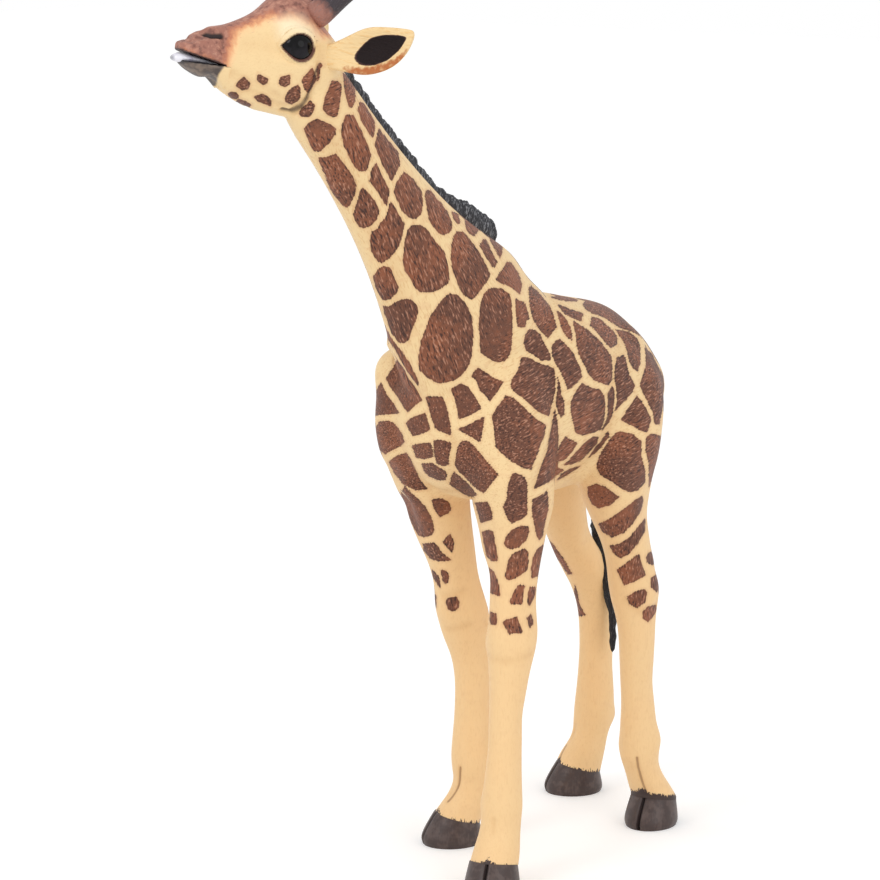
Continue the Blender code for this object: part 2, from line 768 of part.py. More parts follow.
# Legs and hooves
below_floor = half_space("below_floor", 0.0, False, figure)
for leg in LEG_LINE_SHARES:
    side = 1 if leg.endswith("left") else -1
    host = torso["left" if side > 0 else "right"]
    limb = leg_loft(leg + "_leg", leg, LEG_SEAM_SHARE + LEG_LAP_SHARE, 0)
    cut(limb, above_leg_seam)
    _, out, back = row_at(LEG_LINE_SHARES[leg], LEG_SEAM_SHARE)
    hip = Vector((side * out * BODY_WIDTH, back * BODY_LENGTH, leg_seam - SEAM_GAP))
    plug(leg, limb, [host], hip, UP, LEG_PEG_RADIUS, LEG_PEG_LENGTH, figure)

    out, back, turn = FEET[leg]
    foot_place = Vector((side * out * BODY_WIDTH, back * BODY_LENGTH, 0))
    foot = frame(leg + "_foot", figure, foot_place, (0, 0, side * turn))
    coronet = frame(leg + "_coronet", foot, UP * HOOF_HEIGHT, (-HOOF_SLOPE, 0, 0))
    cut(limb, half_space(leg + "_below_coronet", 0.0, False, coronet))
    hoof = loft(leg + "_hoof", [hoof_ring(row) for row in HOOF_SHARES], foot)
    plug(leg + "_hoof", limb, [hoof], Vector(), -UP, HOOF_PEG_RADIUS, HOOF_PEG_LENGTH, coronet)
    nose = HOOF_LENGTH / 2
    cut(hoof, below_floor)
    low = Vector((-CLEFT_WIDTH / 2, -nose - OVERRUN, -OVERRUN))
    high = Vector((CLEFT_WIDTH / 2, CLEFT_DEPTH - nose, HOOF_HEIGHT + OVERRUN))
    cut(hoof, block(leg + "_cleft", low, high, foot))
    paint(stocking, limb)
    paint(hoof_brown, hoof)

# Tail and its tuft, which hang clear of the rear right hock
_, hock_out, _ = row_at(LEG_LINE_SHARES["rear_right"], HOCK_SHARE)
_, _, hock_half_width = row_at(REAR_LEG_SHARES[::-1], HOCK_SHARE)
tuft_radius = TAIL_RADIUS + TUFT_WALL
hock_inside = hock_out * BODY_WIDTH - hock_half_width * LEG_WIDTH
tail_reach = hock_inside - TAIL_CLEARANCE - tuft_radius
root_along, root_height = TAIL_ROOT_SHARES
tail_root = Vector((0, (root_along - BODY_FRONT_SHARE) * BODY_LENGTH, root_height * BACK_HEIGHT))
tail = loft("tail", tail_rings(TAIL_SHARES), figure)
tail_seat = loft("tail_seat", tail_rings(TAIL_SHARES[:3], SEAM_GAP), figure, True)
for shell in torso.values():
    cut(shell, tail_seat)
tuft_root = hanging(tail_root, TAIL_SHARES[-2], TAIL_LENGTH)
tuft_points = [hanging(tuft_root, row, TUFT_LENGTH) for row in TUFT_SHARES]
tuft_radii = [row[3] * tuft_radius for row in TUFT_SHARES]
tuft = loft("tail_tuft", tube_rings(tuft_points, tuft_radii), figure)
last_fall, *last_rest = TAIL_SHARES[-1]
beyond = (last_fall + SEAM_GAP / TAIL_LENGTH, *last_rest)
tuft_seat_rings = tail_rings((*TAIL_SHARES[-3:-1], beyond), SEAM_GAP)
cut(tuft, loft("tuft_seat", tuft_seat_rings, figure, True))
paint(stocking, tail)
paint(charcoal, tuft)

# Each torso piece keeps its own half, and pins line the halves up
for side, name in ((1, "left"), (-1, "right")):
    reach = BACK_HEIGHT * 2
    inner = side * SEAM_GAP / 2
    low = Vector((min(inner, -side * reach), -reach, -reach))
    high = Vector((max(inner, -side * reach), reach, reach))
    cut(torso[name], block("across_" + name, low, high, figure))
for name, (along, height) in PIN_SHARES.items():
    middle = Vector((0, (along - BODY_FRONT_SHARE) * BODY_LENGTH, height * BACK_HEIGHT))
    pin = "torso_pin_" + name
    plug(pin, torso["left"], [torso["right"]], middle, -ACROSS, PIN_RADIUS, PIN_LENGTH, figure)

# Each piece takes on what is joined to it, is cut, and then gets its pegs
for operation, name, shapes_of in (
    ("UNION", "joined", joined),
    ("DIFFERENCE", "cuts", cuts),
    ("UNION", "pegs", pegs),
):
    for piece, shapes in shapes_of.items():
        combine(piece, shapes, operation, name)

# The frame's origin lies at the bottom centre of the bounding box
bpy.context.view_layer.update()
graph = bpy.context.evaluated_depsgraph_get()
corners = []
for piece in pieces.objects:
    if piece.type == "MESH":
        shape = piece.evaluated_get(graph).to_mesh()
        corners += [piece.matrix_world @ point.co for point in shape.vertices]
        piece.evaluated_get(graph).to_mesh_clear()
for axis in (0, 1):
    reached = [corner[axis] for corner in corners]
    figure.location[axis] = -(min(reached) + max(reached)) / 2
figure.location.z = -min(corner.z for corner in corners)
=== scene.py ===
# %% [markdown]
# # A toy giraffe, moulded and painted in Blender
#
# This lesson dresses the plain solids of a giraffe figure. The real one is moulded in plastic and painted by
# hand: a cream coat with brown patches, a dark mane, glossy eyes and grey-brown hooves. The solids are loaded
# first and give every size and place. Each later step makes one part of the figure and says why it is made so.

import math

import bmesh
import bpy
import numpy as np
from mathutils import Euler, Matrix, Vector, noise
from mathutils.bvhtree import BVHTree
from mathutils.kdtree import KDTree


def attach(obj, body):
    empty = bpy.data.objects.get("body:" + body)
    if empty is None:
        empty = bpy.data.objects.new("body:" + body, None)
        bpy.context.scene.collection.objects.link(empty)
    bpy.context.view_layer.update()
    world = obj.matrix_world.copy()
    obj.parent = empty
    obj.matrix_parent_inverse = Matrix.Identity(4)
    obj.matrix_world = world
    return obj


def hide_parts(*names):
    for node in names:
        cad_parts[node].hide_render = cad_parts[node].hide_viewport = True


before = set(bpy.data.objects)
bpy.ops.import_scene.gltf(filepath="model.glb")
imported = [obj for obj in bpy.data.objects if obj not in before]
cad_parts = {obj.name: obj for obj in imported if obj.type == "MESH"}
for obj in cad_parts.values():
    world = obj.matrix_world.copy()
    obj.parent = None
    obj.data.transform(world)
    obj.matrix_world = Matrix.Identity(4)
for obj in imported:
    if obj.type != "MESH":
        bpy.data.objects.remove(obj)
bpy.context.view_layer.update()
print("solids:", len(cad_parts))

# %% [markdown]
# ## Units and the figure's own frame
#
# The model is in metres, but a figure this small is easier to think of in millimetres, so lengths are written
# as a number times MM. The figure was drawn round its own middle and then shifted so that the box of the whole
# model stands on the origin. ORIGIN is that shift, and every point made below is moved by it.

# %% Units and origin
MM = 0.001
ORIGIN = Vector((-1.289, 36.399, 0)) * MM
ACROSS, BACK, UP = Vector((1, 0, 0)), Vector((0, 1, 0)), Vector((0, 0, 1))


def in_mm(place):
    return [round(value / MM, 1) for value in place]


print("the figure stands at", in_mm(ORIGIN))

# %% [markdown]
# ## The camera
#
# A product photograph of a small figure is taken with a long lens from a little above. A long lens keeps the
# near hoof and the far hoof nearly the same size. The place and the angles were solved from the hooves on the
# floor and the outline. The camera comes first because some marks are placed by where they show in the picture.

# %% Camera
def in_scene(name, data):
    """A new object in the scene."""
    made = bpy.data.objects.new(name, data)
    bpy.context.scene.collection.objects.link(made)
    return made


# The picture's side and the focal length in pixels, and the sensor in millimetres
PICTURE, FOCAL, SENSOR = 880, 3195.8, 36.0
HALF = PICTURE / 2
AZIMUTH, PITCH = math.radians(37.75), math.radians(10.72)
LOOK = Euler((math.pi / 2 - PITCH, 0, AZIMUTH))
EYE_POINT = Vector((474.58, -657.59, 259.82)) * MM + ORIGIN

lens = bpy.data.cameras.new("camera")
lens.sensor_width = SENSOR
lens.lens = FOCAL * SENSOR / PICTURE
camera = in_scene("camera", lens)
camera.location, camera.rotation_euler = EYE_POINT, LOOK
bpy.context.scene.camera = camera
VIEW, EYE = np.array(LOOK.to_matrix()), np.array(EYE_POINT)
print("lens of", round(lens.lens, 1), "mm")


def to_picture(points):
    """Where points show in the picture, in its pixels, and how far off they are."""
    seen = (points - EYE) @ VIEW
    depth = -seen[:, 2]
    return HALF + FOCAL * seen[:, 0] / depth, HALF - FOCAL * seen[:, 1] / depth, depth


def ray_of(x, y):
    """The direction in which the camera sees a pixel."""
    return Vector(VIEW @ np.array([(x - HALF) / FOCAL, (HALF - y) / FOCAL, -1.0])).normalized()


# %% [markdown]
# ## Sections of the body
#
# An animal's trunk, neck and legs can be drawn as rows of oval sections, as a boat is drawn by its ribs. The
# tables give each section as shares of a few named sizes, so the whole animal can be made longer or deeper by
# one number. They are the tables that the solids were made from, which keeps the dressed figure inside its
# solids; only the middle lines of two legs are drawn a millimetre closer to the picture.

# %% Sizes
BODY_LENGTH, BODY_FRONT, BODY_WIDTH, BACK_HEIGHT = 97 * MM, 51 * MM, 45 * MM, 160 * MM
NECK_LENGTH, NECK_WIDTH, NECK_DEPTH, NECK_LEAN = 80 * MM, 29 * MM, 40 * MM, 45.0
HEAD_LENGTH, HEAD_WIDTH, HEAD_DEPTH = 39.5 * MM, 20.5 * MM, 29.8 * MM
HEAD_BACK, HEAD_YAW = 5 * MM, 26.0
LEG_WIDTH, LEG_DEPTH = 20 * MM, 30 * MM
HOOF_LENGTH, HOOF_WIDTH, HOOF_HEIGHT, HOOF_SLOPE = 16.5 * MM, 14 * MM, 7.2 * MM, 13.0
LEG_SEAM = 0.555 * BACK_HEIGHT
NECK_SEAM = 0.03 * NECK_LENGTH
HEAD_SEAM = 0.95 * NECK_LENGTH
print("trunk and neck in mm:", round(BODY_LENGTH / MM), "and", round(NECK_LENGTH / MM))

# %% Sections of the trunk, neck and head
# Place along, half width, top and bottom
TORSO_SHARES = (
    (0.00, 0.15, 0.800, 0.700),
    (0.05, 0.32, 0.850, 0.640),
    (0.14, 0.42, 0.885, 0.605),
    (0.27, 0.47, 0.915, 0.590),
    (0.42, 0.48, 0.925, 0.585),
    (0.56, 0.48, 0.898, 0.585),
    (0.69, 0.46, 0.885, 0.595),
    (0.79, 0.41, 0.868, 0.615),
    (0.885, 0.31, 0.835, 0.645),
    (0.953, 0.17, 0.790, 0.690),
)
# Place along, half width, crest and throat
NECK_SHARES = (
    (-0.36, 0.44, 0.50, 0.54),
    (-0.18, 0.54, 0.58, 0.66),
    (0.00, 0.54, 0.54, 0.635),
    (0.16, 0.45, 0.430, 0.510),
    (0.32, 0.37, 0.345, 0.403),
    (0.50, 0.31, 0.295, 0.314),
    (0.68, 0.275, 0.265, 0.255),
    (0.86, 0.26, 0.255, 0.228),
    (1.00, 0.26, 0.260, 0.220),
    (1.12, 0.24, 0.250, 0.200),
)
# Place along, half width, top and bottom
HEAD_SHARES = (
    (0.00, 0.20, 0.567, 0.200),
    (0.06, 0.38, 0.683, 0.017),
    (0.16, 0.48, 0.800, -0.083),
    (0.27, 0.50, 0.867, -0.127),
    (0.37, 0.49, 0.850, -0.120),
    (0.47, 0.40, 0.753, -0.087),
    (0.58, 0.32, 0.673, -0.033),
    (0.70, 0.28, 0.603, 0.060),
    (0.81, 0.285, 0.605, 0.165),
    (0.90, 0.26, 0.547, 0.213),
    (0.96, 0.19, 0.507, 0.273),
    (0.99, 0.10, 0.460, 0.330),
)
print("sections:", len(TORSO_SHARES) + len(NECK_SHARES) + len(HEAD_SHARES))

# %% Sections of the legs
# Height, half depth and half width
FRONT_LEG_SHARES = (
    (0.860, 0.24, 0.25),
    (0.800, 0.40, 0.42),
    (0.700, 0.48, 0.49),
    (0.620, 0.39, 0.48),
    (0.560, 0.30, 0.41),
    (0.500, 0.235, 0.315),
    (0.450, 0.200, 0.265),
    (0.405, 0.226, 0.310),
    (0.375, 0.222, 0.300),
    (0.330, 0.172, 0.235),
    (0.270, 0.158, 0.208),
    (0.200, 0.160, 0.210),
    (0.140, 0.190, 0.250),
    (0.110, 0.188, 0.250),
    (0.080, 0.178, 0.245),
    (0.050, 0.205, 0.285),
    (0.010, 0.230, 0.320),
)
REAR_LEG_SHARES = (
    (0.860, 0.26, 0.22),
    (0.800, 0.48, 0.38),
    (0.720, 0.54, 0.48),
    (0.640, 0.48, 0.50),
    (0.570, 0.35, 0.43),
    (0.510, 0.250, 0.315),
    (0.460, 0.208, 0.262),
    (0.415, 0.235, 0.280),
    (0.365, 0.200, 0.250),
    (0.300, 0.162, 0.212),
    (0.200, 0.162, 0.212),
    (0.150, 0.190, 0.255),
    (0.115, 0.178, 0.240),
    (0.085, 0.165, 0.225),
    (0.050, 0.200, 0.280),
    (0.010, 0.225, 0.315),
)
print("sections of a front and a rear leg:", len(FRONT_LEG_SHARES), "and", len(REAR_LEG_SHARES))

# %% Middle lines of the legs
# Height, place outwards and place backwards
LEG_LINE_SHARES = {
    "front_left": (
        (0.00, 0.330, -0.412),
        (0.30, 0.320, -0.370),
        (0.40, 0.315, -0.342),
        (0.60, 0.310, -0.345),
        (0.76, 0.300, -0.335),
        (0.86, 0.210, -0.300),
    ),
    "front_right": (
        (0.00, 0.335, -0.180),
        (0.09, 0.294, -0.150),
        (0.30, 0.289, -0.140),
        (0.40, 0.303, -0.182),
        (0.50, 0.292, -0.245),
        (0.60, 0.320, -0.316),
        (0.80, 0.330, -0.355),
        (0.86, 0.230, -0.320),
    ),
    "rear_left": (
        (0.00, 0.360, 0.255),
        (0.12, 0.339, 0.228),
        (0.30, 0.339, 0.206),
        (0.40, 0.360, 0.208),
        (0.50, 0.345, 0.145),
        (0.60, 0.315, 0.107),
        (0.76, 0.275, 0.155),
        (0.86, 0.190, 0.190),
    ),
    "rear_right": (
        (0.00, 0.360, 0.405),
        (0.05, 0.355, 0.425),
        (0.09, 0.350, 0.450),
        (0.14, 0.350, 0.470),
        (0.30, 0.355, 0.482),
        (0.39, 0.352, 0.412),
        (0.50, 0.345, 0.292),
        (0.60, 0.330, 0.235),
        (0.76, 0.285, 0.213),
        (0.86, 0.190, 0.200),
    ),
}
# Place outwards, place backwards and outward turn
FEET = {
    "front_left": (0.360, -0.457, 20.0),
    "front_right": (0.355, -0.196, 36.0),
    "rear_left": (0.364, 0.272, 8.0),
    "rear_right": (0.395, 0.397, 38.0),
}
LEGS = tuple(LEG_LINE_SHARES)
print("legs:", *LEGS)

# %% [markdown]
# ## Frames
#
# The neck leans, the head is turned, and each hoof points its own way. A frame is a matrix that carries a
# point from such a part's own level and upright axes to its place on the figure. In the neck's frame +Z runs
# up the neck and +Y points to the crest. In the head's frame -Y points to the nose.


# %% Frames
def placed(place, turns=(0, 0, 0)):
    """A frame at a place, turned about X, Y and Z by these degrees."""
    return Matrix.Translation(place) @ Euler([math.radians(turn) for turn in turns]).to_matrix().to_4x4()


neck_base = Vector((0, 0.165 * BODY_LENGTH - BODY_FRONT, 0.893 * BACK_HEIGHT)) + ORIGIN
FIGURE = placed(ORIGIN)
NECK = placed(neck_base, (NECK_LEAN, 0, 0))
HEAD = placed(NECK @ (UP * NECK_LENGTH), (0, 0, -HEAD_YAW))


def head_place(across, along, height):
    """A point of the head from shares of its width, length and depth."""
    return Vector((across * HEAD_WIDTH, HEAD_BACK - along * HEAD_LENGTH, height * HEAD_DEPTH))


def side_of(leg):
    return 1 if leg.endswith("left") else -1


def foot_frame(leg):
    out, back, turn = FEET[leg]
    place = Vector((side_of(leg) * out * BODY_WIDTH, back * BODY_LENGTH, 0)) + ORIGIN
    return placed(place, (0, 0, side_of(leg) * turn))


def coronet_frame(leg):
    """The frame of the sloped plane where the leg meets its hoof."""
    return foot_frame(leg) @ placed(UP * HOOF_HEIGHT, (-HOOF_SLOPE, 0, 0))


print("the head is turned by", HEAD_YAW, "degrees")

# %% [markdown]
# ## From sections to a soft skin
#
# A cage of a few points with a Subdivision Surface modifier gives a smooth skin that is still easy to steer.
# The skin shrinks inside its cage, so each ring is made larger by the amount that a smooth closed curve loses.
# The modifier's result is then read back as a plain mesh, because the next steps work on points.


# %% Rings and lofts
def ring(centre, across, upward, half_width, rise, drop, sides):
    """Points round a section; the smooth skin reaches the half width, the rise and the drop."""
    swell = 3 / (2 + math.cos(math.tau / sides))
    points = []
    for at in range(sides):
        turn = math.tau * (at + 0.5) / sides
        height = rise if math.sin(turn) > 0 else drop
        sideways = across * (half_width * math.cos(turn))
        points.append(centre + (sideways + upward * (height * math.sin(turn))) * swell)
    return points


def row_at(rows, share):
    """The row of a table at any share along it, on straight lines between its rows."""
    share = min(max(share, rows[0][0]), rows[-1][0])
    for low, high in zip(rows, rows[1:]):
        if share <= high[0]:
            part = (share - low[0]) / (high[0] - low[0])
            return [a + (b - a) * part for a, b in zip(low, high)]
    return list(rows[-1])


def new_object(name, shape):
    """Turns a finished bmesh into an object."""
    mesh = bpy.data.meshes.new(name)
    shape.to_mesh(mesh)
    shape.free()
    return in_scene(name, mesh)


def skin_of(name, rings, closed=False):
    """A plain skin through rings that have the same number of points; closed joins the last ring to the first."""
    shape = bmesh.new()
    rows = [[shape.verts.new(point) for point in points] for points in rings]
    joined = rows + rows[:1] if closed else rows
    for low, high in zip(joined, joined[1:]):
        for at in range(len(low)):
            ahead = (at + 1) % len(low)
            shape.faces.new((low[at], low[ahead], high[ahead], high[at]))
    if not closed:
        shape.faces.new(rows[0])
        shape.faces.new(rows[-1])
    bmesh.ops.recalc_face_normals(shape, faces=shape.faces)
    return new_object(name, shape)


def settle(obj):
    """Reads the result of an object's modifiers back as its plain mesh."""
    graph = bpy.context.evaluated_depsgraph_get()
    mesh = bpy.data.meshes.new_from_object(obj.evaluated_get(graph))
    obj.modifiers.clear()
    old, obj.data = obj.data, mesh
    bpy.data.meshes.remove(old)
    return obj


def loft(name, rings, place=FIGURE, levels=3):
    """A soft closed skin through the rings of a frame."""
    made = skin_of(name, [[place @ point for point in points] for points in rings])
    soften = made.modifiers.new("soften", "SUBSURF")
    soften.levels = soften.render_levels = levels
    return settle(made)


# %% Body sections as rings
def torso_ring(row):
    along, half_width, top, bottom = row
    rise = (top - bottom) * BACK_HEIGHT / 2
    centre = Vector((0, along * BODY_LENGTH - BODY_FRONT, (top + bottom) * BACK_HEIGHT / 2))
    return ring(centre, ACROSS, UP, half_width * BODY_WIDTH, rise, rise, 12)


def neck_ring(row):
    along, half_width, crest, throat = row
    rise, drop = crest * NECK_DEPTH, throat * NECK_DEPTH
    return ring(UP * (along * NECK_LENGTH), ACROSS, BACK, half_width * NECK_WIDTH, rise, drop, 10)


def head_ring(row):
    along, half_width, top, bottom = row
    rise = (top - bottom) * HEAD_DEPTH / 2
    centre = head_place(0, along, (top + bottom) / 2)
    return ring(centre, ACROSS, UP, half_width * HEAD_WIDTH, rise, rise, 10)


def leg_centre(leg, height):
    """The middle of a leg at a share of the back's height."""
    _, out, back = row_at(LEG_LINE_SHARES[leg], height)
    return Vector((side_of(leg) * out * BODY_WIDTH, back * BODY_LENGTH, height * BACK_HEIGHT))


def leg_sections(leg):
    return FRONT_LEG_SHARES if leg.startswith("front") else REAR_LEG_SHARES


def leg_section(leg, height):
    """Half depth and half width of a leg at a share of the back's height."""
    _, half_depth, half_width = row_at(leg_sections(leg)[::-1], height)
    return half_depth * LEG_DEPTH, half_width * LEG_WIDTH


def leg_spin(leg, height):
    """A leg turns with its foot, more and more towards the floor."""
    turn = side_of(leg) * FEET[leg][2] * min(max(1 - height * BACK_HEIGHT / LEG_SEAM, 0), 1)
    return Matrix.Rotation(math.radians(turn), 3, "Z")


def leg_ring(leg, height):
    """One level section of a leg."""
    half_depth, half_width = leg_section(leg, height)
    spin = leg_spin(leg, height)
    return ring(leg_centre(leg, height), spin @ ACROSS, spin @ BACK, half_width, half_depth, half_depth, 8)


def leg_loft(leg):
    return loft(leg + "_skin", [leg_ring(leg, row[0]) for row in leg_sections(leg)])


print("the near foreleg meets the floor at", in_mm(leg_centre("front_left", 0)))

# %% [markdown]
# ## One clay body
#
# The real figure starts as one piece of clay, so trunk, neck and legs flow into each other. Here the lofted
# skins overlap like lumps of clay, and a voxel Remesh makes one closed skin round them all. A remesh leaves
# small steps and keeps the creases where the lumps meet. A gentle smoothing takes the steps out, and a
# stronger one is brushed on only where the skin is creased inwards, as a thumb would do it.


# %% Work on points
# A fold is sharp where a point lies this far inside its neighbours' mean, in voxels
SHARP_FOLD, OUTWARD_GAIN = 0.10, 1.04


def read(skin, layer="co"):
    """An object's points or normals as an array."""
    mesh = skin.data
    values = np.empty(len(mesh.vertices) * 3, np.float32)
    source = mesh.vertices if layer == "co" else mesh.vertex_normals
    source.foreach_get("co" if layer == "co" else "vector", values)
    return values.reshape(-1, 3).astype(float)


def write(skin, points):
    skin.data.vertices.foreach_set("co", points.astype(np.float32).ravel())
    skin.data.update()


def edges_of(skin):
    pairs = np.empty(len(skin.data.edges) * 2, np.int32)
    skin.data.edges.foreach_get("vertices", pairs)
    return pairs.reshape(-1, 2)


def neighbour_mean(skin):
    """A function that gives each point's mean of a value over its neighbours along the edges."""
    pairs, size = edges_of(skin), len(skin.data.vertices)
    count = np.maximum(np.bincount(pairs.ravel(), minlength=size), 1)

    def mean(values):
        table = values.reshape(size, -1)
        total = np.zeros_like(table)
        for near, far in (pairs.T, pairs.T[::-1]):
            for axis in range(table.shape[1]):
                total[:, axis] += np.bincount(near, table[far, axis], size)
        return (total / count[:, None]).reshape(values.shape)

    return mean


def relax(skin, rounds, strength=0.5, weight=None, keep_size=True):
    """Smooths a skin; with keep_size each step inwards is followed by a slightly larger one outwards."""
    points, mean = read(skin), neighbour_mean(skin)
    share = strength if weight is None else strength * weight[:, None]
    for _ in range(rounds):
        points += share * (mean(points) - points)
        if keep_size:
            points -= share * OUTWARD_GAIN * (mean(points) - points)
    write(skin, points)


def spread(values, skin, rounds):
    """Blurs a value over a skin."""
    mean = neighbour_mean(skin)
    for _ in range(rounds):
        values = 0.5 * values + 0.5 * mean(values)
    return values


def creases(skin, spacing, reach, gain):
    """1 where the skin folds inwards sharply, and 0 elsewhere, spread over a reach of edges and strengthened."""
    points = read(skin)
    inwards = neighbour_mean(skin)(points) - points
    fold = spread((inwards * read(skin, "normal")).sum(1) / spacing, skin, 3)
    sharp = np.clip((fold - SHARP_FOLD * 0.3) / SHARP_FOLD, 0, 1)
    return np.clip(spread(sharp, skin, reach) * gain, 0, 1)


def lengths(vectors):
    return np.linalg.norm(vectors, axis=1)


def step(low, high, values):
    """0 below low, 1 above high, and a smooth rise between."""
    share = np.clip((values - low) / (high - low), 0, 1)
    return share * share * (3 - 2 * share)


def remesh(name, lumps, voxel):
    """One closed skin round overlapping lumps."""
    with bpy.context.temp_override(active_object=lumps[0], selected_editable_objects=lumps):
        bpy.ops.object.join()
    made = lumps[0]
    made.name = name
    made.modifiers.new("voxels", "REMESH").mode = "VOXEL"
    made.modifiers["voxels"].voxel_size = voxel
    made.modifiers["voxels"].use_smooth_shade = True
    return settle(made)


# %% Cut a closed skin with a plane
def cut_plane(obj, point, normal, name, keep_both=True):
    """Parts a closed piece at a plane into what lies in front, which is returned as name, and what lies behind."""
    for ahead in (True, False) if keep_both else (True,):
        shape = bmesh.new()
        shape.from_mesh(obj.data)
        every = [*shape.verts, *shape.edges, *shape.faces]
        cut = bmesh.ops.bisect_plane(
            shape, geom=every, plane_co=point, plane_no=normal, clear_inner=ahead, clear_outer=not ahead
        )["geom_cut"]
        rim = [part for part in cut if isinstance(part, bmesh.types.BMEdge)]
        bmesh.ops.holes_fill(shape, edges=rim, sides=0)
        for edge in rim:
            edge.smooth = False
        if ahead:
            made = new_object(name, shape)
        else:
            shape.to_mesh(obj.data)
            shape.free()
    return made


def keep_ahead(obj, point, normal):
    """Keeps only what lies in front of a plane."""
    kept = cut_plane(obj, point, normal, obj.name + "_kept", False)
    name = obj.name
    bpy.data.objects.remove(obj)
    kept.name = name
    return kept


# %% [markdown]
# ## The mouth's planes
#
# The mouth is a wedge that opens forwards from its corner: the upper lip runs up from the corner and the chin
# lies almost level. The skull behind the corner and the muzzle above the lip are cut from the same loft and
# melted together again, which leaves the wedge open. The jaw is a piece of its own.

# %% Mouth planes and head lumps
corner = HEAD @ head_place(0, 0.742, 0.311)
head_turn = HEAD.to_3x3()


def tilted(axis, slope):
    """An axis of the head's frame, tipped up towards the nose."""
    return head_turn @ (Matrix.Rotation(math.radians(-slope), 3, "X") @ axis)


upper_lip_up = tilted(UP, 21.0)
lower_lip_up, lower_lip_back = tilted(UP, 8.0), tilted(BACK, 8.0)


def head_lumps():
    """The skull behind the mouth's corner and the muzzle above the upper lip."""
    rings = [head_ring(row) for row in HEAD_SHARES]
    skull = keep_ahead(loft("skull", rings, HEAD), corner, lower_lip_back)
    muzzle = keep_ahead(loft("muzzle", rings, HEAD), corner, upper_lip_up)
    return [skull, muzzle]


print("the mouth's corner is at", in_mm(corner))

# %% Model the body
BODY_VOXEL = 0.45 * MM
lumps = [
    loft("torso_skin", [torso_ring(row) for row in TORSO_SHARES]),
    loft("neck_skin", [neck_ring(row) for row in NECK_SHARES], NECK),
    *[leg_loft(leg) for leg in LEGS],
    *head_lumps(),
]
hide = remesh("hide", lumps, BODY_VOXEL)
relax(hide, 6)
for rounds in (40, 20):
    crease = creases(hide, BODY_VOXEL, 14, 2.2) * step(20 * MM, 60 * MM, read(hide)[:, 2])
    relax(hide, rounds, 0.6, crease, False)
print("hide:", len(hide.data.vertices), "points")

# %% [markdown]
# ## Shape the muscles
#
# The melted body is even and round, like clay before the details. A sculptor now adds bulges where a bone or a
# muscle lies under the skin, and scores lines where the skin folds. The same is done here by moving points along
# their normals. Bulges are placed on the legs' own sections, and lines are placed by where they show in the
# picture, with a ray from the camera that finds the skin there.


# %% Sculpting tools
def swell(skin, marks):
    """Bulges (or hollows, with a push below 0) round places: place, reach and push in millimetres."""
    points, normals = read(skin), read(skin, "normal")
    for place, reach, push in marks:
        away = lengths(points - place) / (reach * MM)
        points += normals * (push * MM * np.exp(-(away**2)))[:, None]
    write(skin, points)


def tree_of(obj):
    """A search tree of an object's faces."""
    mesh = obj.data
    return BVHTree.FromPolygons([v.co for v in mesh.vertices], [p.vertices[:] for p in mesh.polygons])


def corners_of(text):
    """The places in the picture that a text lists."""
    return np.array([[float(value) for value in pair.split(",")] for pair in text.split()])


def on_skin(tree, pixels):
    """Points of the skin under a line of picture points."""
    found = [tree.ray_cast(EYE_POINT, ray_of(x, y))[0] for x, y in corners_of(pixels)]
    return [np.array(point) for point in found if point is not None]


def in_frame(points, place):
    """Points in the axes of a frame."""
    return (points - place.translation) @ place.to_3x3()


def from_frame(own, place):
    """Points of a frame, where they lie on the figure."""
    return own @ np.array(place.to_3x3()).T + np.array(place.translation)


def line_distance(points, line):
    """Distance from a line through points, in millimetres."""
    nearest = np.full(len(points), np.inf)
    for a, b in zip(line, line[1:]):
        share = np.clip((points - a) @ (b - a) / max((b - a) @ (b - a), 1e-12), 0, 1)
        nearest = np.minimum(nearest, lengths(points - a - share[:, None] * (b - a)))
    return nearest / MM


def score(skin, line, width, push):
    """Draws a groove (push below 0) or a ridge along a line, and returns how strongly each point was moved."""
    points = read(skin)
    share = np.exp(-((line_distance(points, line) / width) ** 2))
    write(skin, points + read(skin, "normal") * (share * push * MM)[:, None])
    return share


# %% Muscles and joints
def beside(leg, height, outwards, ahead):
    """A place on a leg's surface: shares of its half width outwards and of its half depth ahead."""
    half_depth, half_width = leg_section(leg, height)
    aside = Vector((side_of(leg) * outwards * half_width, -ahead * half_depth, 0))
    return leg_centre(leg, height) + ORIGIN + leg_spin(leg, height) @ aside


# Height, outwards, ahead, reach and push: shoulder blade, elbow, knee and fetlock
FRONT_MARKS = (
    (0.72, 1.0, 0.5, 9.0, 1.0),
    (0.66, 1.0, -0.4, 5.0, -0.6),
    (0.60, 1.0, -0.7, 4.5, 0.6),
    (0.54, 0.9, 0.9, 4.0, 0.5),
    (0.400, 0.0, 1.0, 4.2, 0.8),
    (0.385, 1.0, 0.4, 2.6, 0.45),
    (0.385, -1.0, 0.4, 2.6, 0.45),
    (0.385, 0.0, -1.0, 3.0, 0.5),
    (0.345, 0.0, -1.0, 3.0, -0.5),
    (0.27, 0.9, -0.3, 4.5, -0.35),
    (0.22, -0.9, -0.3, 4.5, -0.35),
    (0.130, 0.9, 0.2, 2.8, 0.4),
    (0.130, -0.9, 0.2, 2.8, 0.4),
    (0.118, 0.0, -1.0, 2.6, 0.9),
    (0.085, 0.0, -1.0, 2.4, -0.5),
    (0.085, 0.0, 1.0, 3.0, -0.35),
)
